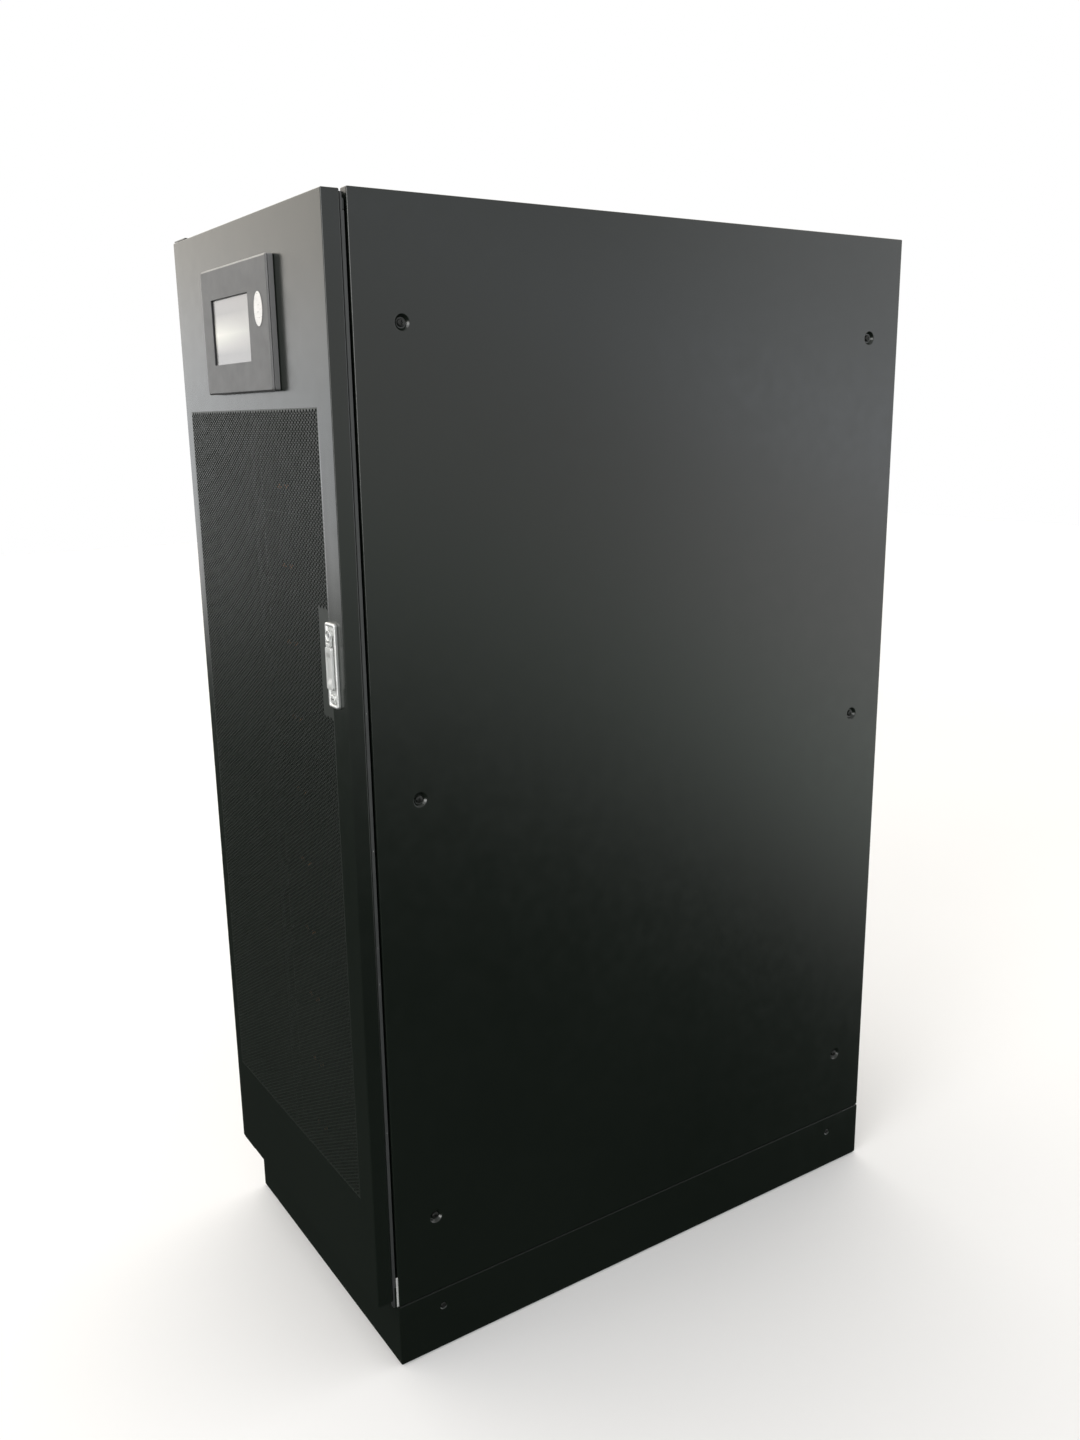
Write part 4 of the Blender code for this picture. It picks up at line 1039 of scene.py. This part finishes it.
def rack_fittings(low, high, face):
    """Grab handles and ear screws of one rack unit, as (shape, finish) parts."""
    middle = (low.z + high.z) / 2
    parts = []
    for side in (-1, 1):
        x = side * HANDLE_X
        parts.append((grab_handle(x, face, middle), SWITCH))
        for end in (-1, 1):
            parts.append((turned(HANDLE_FOOT, (x, face, middle + end * HANDLE_HALF), 24), SWITCH))
            spot = (side * EAR_SCREW[0], face, middle + end * EAR_SCREW[1])
            parts.append((screw_at(SMALL_SCREW, spot, AHEAD, 0.4 + end), ZINC))
    return parts


def ports(count, x, face, middle):
    """Sockets side by side on a unit's face, as (shape, finish) parts."""
    return [(block((x + k * 0.02 - 0.0078, face - 0.0014, middle - 0.03),
                   (x + k * 0.02 + 0.0078, face + 0.001, middle - 0.014), 0.0005), SWITCH) for k in range(count)]


def battery_face(low, high, face):
    """Terminals, ports, lamps and ventilation bars of a battery module."""
    middle = (low.z + high.z) / 2
    parts = []
    for x, mat in ((-0.15, SWITCH), (-0.118, SWITCH), (0.118, ORANGE), (0.15, ORANGE)):
        parts.append((turned(TERMINAL, (x, face, middle - 0.022), 32), mat))
        parts.append((turned(TERMINAL_STUD, (x, face, middle - 0.022), 24), COPPER))
    for k in range(9):
        z = middle - 0.04 + k * 0.0088
        parts.append((block((-0.07, face - 0.0022, z - 0.0018), (0.04, face + 0.001, z + 0.0018), 0.0007), CASE))
    parts += ports(2, 0.06, face, middle)
    parts += [(turned(SMALL_LENS, (0.054 + k * 0.009, face, middle + 0.03), 16), LAMP) for k in range(5)]
    return parts


def rack_case(node):
    """The unit's sheet case with rounded edges, and a lip round its face plate."""
    low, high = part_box(node)
    face = low.y if node != "control_box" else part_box("battery_module_1")[0].y
    parts = [(block((low.x, face, low.z), (high.x, face + 0.003, high.z)), CASE),
             (block((-CASE_HALF, face + 0.0028, low.z + 0.0004), (CASE_HALF, high.y, high.z - 0.0004), 0.0012), CASE)]
    return low, high, face, parts


def rack_units():
    for i in range(10):
        node = "battery_module_" + str(i + 1)
        low, high, face, parts = rack_case(node)
        parts += rack_fittings(low, high, face) + battery_face(low, high, face)
        assemble(node + "_unit", parts, node)
    control_unit()


def control_unit():
    """Switchgear unit with the main breaker's surround and the start button's ring."""
    low, high, face, parts = rack_case("control_box")
    breaker_low, breaker_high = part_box("breaker_lever")
    cap_low, cap_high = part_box("start_button")
    middle = (low.z + high.z) / 2
    x = (breaker_low.x + breaker_high.x) / 2
    proud = low.y
    centre = ((cap_low.x + cap_high.x) / 2, face, middle)
    radius = (cap_high.x - cap_low.x) / 2
    for side in (-1, 1):
        upright_bar = block((x + side * 0.0092, proud, middle - 0.045),
                            (x + side * 0.03, face + 0.001, middle + 0.045), 0.001)
        level_bar = block((x - 0.01, proud + 0.0002, middle + side * 0.0242),
                          (x + 0.01, face + 0.001, middle + side * 0.045), 0.0008)
        parts += [(upright_bar, SWITCH), (level_bar, SWITCH)]
    parts += rack_fittings(low, high, face)
    for index, slot_depth, bore_depth in ((0, 0.004, 0.004), (1, 0.016, 0.014)):
        slot = block((x - 0.0088, face - 0.001, middle - 0.0238), (x + 0.0088, face + slot_depth, middle + 0.0238),
                     0.0002)
        bore = turned([(radius + 0.0001, -0.001), (radius + 0.0001, bore_depth)], centre, 40)
        parts[index] = (carve(carve(parts[index][0], slot), bore), CASE)
    ring = [(radius + 0.0045, 0.0004), (radius + 0.0045, -0.0014), (radius + 0.0036, -0.0022),
            (radius + 0.0012, -0.0022), (radius + 0.0003, -0.0012), (radius + 0.0003, 0.0004)]
    parts.append((turned(ring, centre, 40, ends=(False, False)), ZINC))
    parts += [(turned(LENS, (0.104 + k * 0.014, face, middle + 0.01), 18), LAMP) for k in range(4)]
    parts += ports(3, 0.108, face, middle)
    assemble("control_unit", parts, "control_box")
    refined("breaker_lever", 0.0009, 3)
    front = cap_low.y - face
    profile = [(radius, cap_high.y - face), (radius, front + 0.0012), (radius - 0.0004, front + 0.0004),
               (radius - 0.0012, front), (radius - 0.003, front + 0.0003), (0.0004, front + 0.0006)]
    assemble("start_button_cap", [(turned(profile, centre, 40), GREEN)], "start_button", 50.0)


def busbars():
    """Copper bars with a strap and a screw at each unit that they pass."""
    modules = [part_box("battery_module_" + str(i + 1)) for i in range(10)] + [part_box("control_box")]
    for node in ("busbar_positive", "busbar_negative"):
        low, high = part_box(node)
        x = (low.x + high.x) / 2
        parts = [(block(low, high), COPPER)]
        for unit_low, unit_high in modules:
            z = (unit_low.z + unit_high.z) / 2
            if low.z + 0.02 < z < high.z - 0.01:
                strap = block((x - 0.012, unit_high.y - 0.0002, z - 0.01), (x + 0.012, low.y + 0.0002, z + 0.01))
                parts += [(strap, COPPER), (screw_at(SMALL_SCREW, (x, high.y, z), BACK, 0.3), ZINC)]
        assemble(node + "_bar", parts, node)


# Fans


def fans():
    for word in ("left", "right"):
        refined("fan_housing_" + word, 0.0012)
        fan_rotor(word)


def fan_blade(centre, start, middle):
    """A pitched, cambered blade that sweeps back from the hub."""
    rings = []
    for i in range(9):
        t = i / 8
        radius = HUB - 0.001 + (BLADE_TIP - HUB + 0.001) * t
        chord = 0.026 + 0.006 * t
        pitch = radians(42 - 12 * t)
        sweep = start - 0.28 * t
        upper, lower = [], []
        for k in range(9):
            c = -0.5 + k / 8
            camber = 0.0024 * (1 - (2 * c) ** 2)
            thick = 0.0009 * (1 - (2 * c) ** 2) + 0.0002
            angle = sweep + c * chord * cos(pitch) / radius
            rise = c * chord * sin(pitch) + camber
            for offset, store in ((thick, upper), (-thick, lower)):
                z = middle + rise + offset - 0.0008
                store.append(centre + Vector((radius * cos(angle), radius * sin(angle), z)))
        rings.append(upper + lower[::-1])
    return skinned(rings)


def fan_rotor(word):
    """Hub with a rounded cap and seven blades."""
    low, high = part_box("fan_rotor_" + word)
    joint = [j for j in frame["joints"] if j["name"] == "fan_" + word + "_spin"][0]
    centre = Vector((joint["pos_m"][0], joint["pos_m"][1], 0.0))
    foot = low.z + 0.0045
    profile = [(0.0025, low.z), (0.0025, foot), (HUB - 0.0008, foot), (HUB, foot + 0.0008), (HUB, high.z - 0.0016),
               (HUB - 0.0005, high.z - 0.0005), (HUB - 0.0016, high.z), (0.001, high.z)]
    shapes = [turned(profile, centre, 48, "Z")]
    shapes += [fan_blade(centre, 2 * pi * (blade + 0.3) / 7, (foot + high.z) / 2) for blade in range(7)]
    assemble("fan_wheel_" + word, [(shape, FAN) for shape in shapes], "fan_rotor_" + word, 50.0)


# Stage


def camera():
    azimuth, pitch, roll = (radians(a) for a in AZIMUTH_PITCH_ROLL)
    ahead = Vector((-sin(azimuth) * cos(pitch), cos(azimuth) * cos(pitch), -sin(pitch)))
    level = Vector((cos(azimuth), sin(azimuth), 0.0))
    up = level.cross(ahead)
    right = level * cos(roll) + up * sin(roll)
    over = up * cos(roll) - level * sin(roll)
    data = bpy.data.cameras.new("camera")
    data.lens = LENS_LENGTH
    data.sensor_width = SENSOR
    data.clip_end = 60.0
    made = linked("camera", data)
    place = Vector((CAMERA_X, FRONT - CAMERA_BEFORE_DOOR, CAMERA_Z))
    made.matrix_world = Matrix.Translation(place) @ Matrix((right, over, -ahead)).transposed().to_4x4()
    bpy.context.scene.camera = made


def floor():
    mesh = as_mesh("floor", ([(x * FLOOR, y * FLOOR, 0) for x, y in ((-1, -1), (1, -1), (1, 1), (-1, 1))],
                             [[0, 1, 2, 3]]))
    mesh.materials.append(finish("pale_floor", (0.8, 0.8, 0.8), (0.83, 0.83, 0.83), (0.85, 0.95), 0.4, 60.0, 0.01))
    made = linked("floor", mesh)
    made.visible_glossy = False
    made.visible_diffuse = False


def ramp(value, stops):
    """Colours along the sine of elevation; stops are (place, brightness, tint)."""
    made = add_node(value.id_data, "ShaderNodeValToRGB", Fac=spread(value, 0.0, 1.0, -1.0, 1.0))
    elements = made.color_ramp.elements
    while len(elements) < len(stops):
        elements.new(0.5)
    for element, (place, level, tint) in zip(elements, stops):
        element.position = place
        element.color = (level * tint[0], level * tint[1], level * tint[2], 1.0)
    return made.outputs["Color"]


def toward(direction, facing, start, end):
    """1 near a direction, falling smoothly to 0."""
    near = combined("DOT_PRODUCT", direction, facing, "ShaderNodeVectorMath").outputs["Value"]
    edge = add_node(near.id_data, "ShaderNodeMapRange", Value=near, From_Min=start, From_Max=end)
    edge.interpolation_type = "SMOOTHSTEP"
    return edge.outputs["Result"]


def glowing(tree, colour, strength=1.0):
    return add_node(tree, "ShaderNodeBackground", Color=colour, Strength=strength).outputs[0]


def joined(tree, kind, *values):
    """A node that mixes or adds shaders."""
    made = tree.nodes.new(kind)
    for into, value in zip(made.inputs, values):
        fill(into, value)
    return made.outputs[0]


WARM = (1.0, 0.95, 0.87)
EVEN = (1.0, 0.99, 0.98)
COOL = (0.96, 0.98, 1.0)
MOSS = (0.9, 1.0, 0.92)
BLUE = (0.88, 0.92, 1.0)
# Brightness against the sine of elevation, mapped from -1..1 to 0..1
LEFT_STOPS = ((0.0, 0.01, MOSS), (0.33, 0.012, MOSS), (0.385, 0.02, MOSS), (0.415, 0.06, MOSS),
              (0.437, 0.7, EVEN), (0.47, 0.8, COOL), (0.505, 0.88, COOL), (0.535, 0.92, EVEN), (0.56, 0.84, WARM),
              (0.75, 0.7, WARM), (1.0, 0.6, EVEN))
RIGHT_STOPS = ((0.0, 0.004, MOSS), (0.3, 0.005, MOSS), (0.35, 0.025, MOSS), (0.39, 0.2, EVEN),
               (0.45, 0.5, MOSS), (0.5, 0.6, EVEN), (0.56, 0.62, EVEN), (0.58, 1.0, BLUE),
               (0.605, 0.66, COOL), (0.8, 0.5, EVEN), (1.0, 0.4, EVEN))
LEFT_LEVEL = 2.4
RIGHT_LEVEL = 1.65
RIGHT_REAR_LEVEL = 2.85
FRONT_LAMP = (0.416, -0.893, 0.17)
FRONT_LAMP_LEVEL = 6.5
DARK_FRONT = (-0.25, -0.968, 0.0)


def surroundings():
    """A soft studio: a bright wall to the left, a dimmer one to the right, a lamp in front, and dark below."""
    world = bpy.data.worlds.new("studio")
    bpy.context.scene.world = world
    world.use_nodes = True
    tree = world.node_tree
    tree.nodes.clear()
    direction = tree.nodes.new("ShaderNodeTexCoord").outputs["Generated"]
    across, back, height = add_node(tree, "ShaderNodeSeparateXYZ", Vector=direction).outputs
    left = glowing(tree, ramp(height, LEFT_STOPS), LEFT_LEVEL)
    sunk = combined("ADD", height, spread(back, 0.0, 0.2, 0.44, 0.78)).outputs[0]
    right = glowing(tree, ramp(sunk, RIGHT_STOPS),
                    spread(back, RIGHT_LEVEL, RIGHT_REAR_LEVEL, 0.6, 0.7))
    near = toward(direction, FRONT_LAMP, 0.92, 0.99)
    lamp = glowing(tree, (1.0, 0.99, 0.97, 1.0), combined("MULTIPLY", near, FRONT_LAMP_LEVEL).outputs[0])
    sides = joined(tree, "ShaderNodeMixShader", spread(across, 0.0, 1.0, -0.2, 0.2), left, right)
    dark = glowing(tree, (0.05, 0.05, 0.05, 1.0))
    dimmed = joined(tree, "ShaderNodeMixShader", toward(direction, DARK_FRONT, 0.8, 0.93), sides, dark)
    lit = joined(tree, "ShaderNodeAddShader", dimmed, lamp)
    seen = tree.nodes.new("ShaderNodeLightPath").outputs["Is Camera Ray"]
    shown = joined(tree, "ShaderNodeMixShader", seen, lit, glowing(tree, (1.0, 1.0, 1.0, 1.0)))
    add_node(tree, "ShaderNodeOutputWorld", Surface=shown)


def softbox():
    """A wide lamp above and in front."""
    data = bpy.data.lights.new("softbox", "AREA")
    data.shape = "RECTANGLE"
    data.size = 2.4
    data.size_y = 1.6
    data.energy = 30.0
    place = Vector((0.6, -2.6, 3.4))
    aim = Vector((0.0, 0.0, 0.9)) - place
    turn = aim.to_track_quat("-Z", "Y").to_matrix().to_4x4()
    linked("softbox", data).matrix_world = Matrix.Translation(place) @ turn


for build in (camera, covers, plinth, frame_members, frame_edges, door_leaf, perforated_field, display, handle,
              door_inside, rack_units, busbars, fans, floor, surroundings, softbox):
    build()
bpy.context.scene.view_settings.view_transform = "Standard"
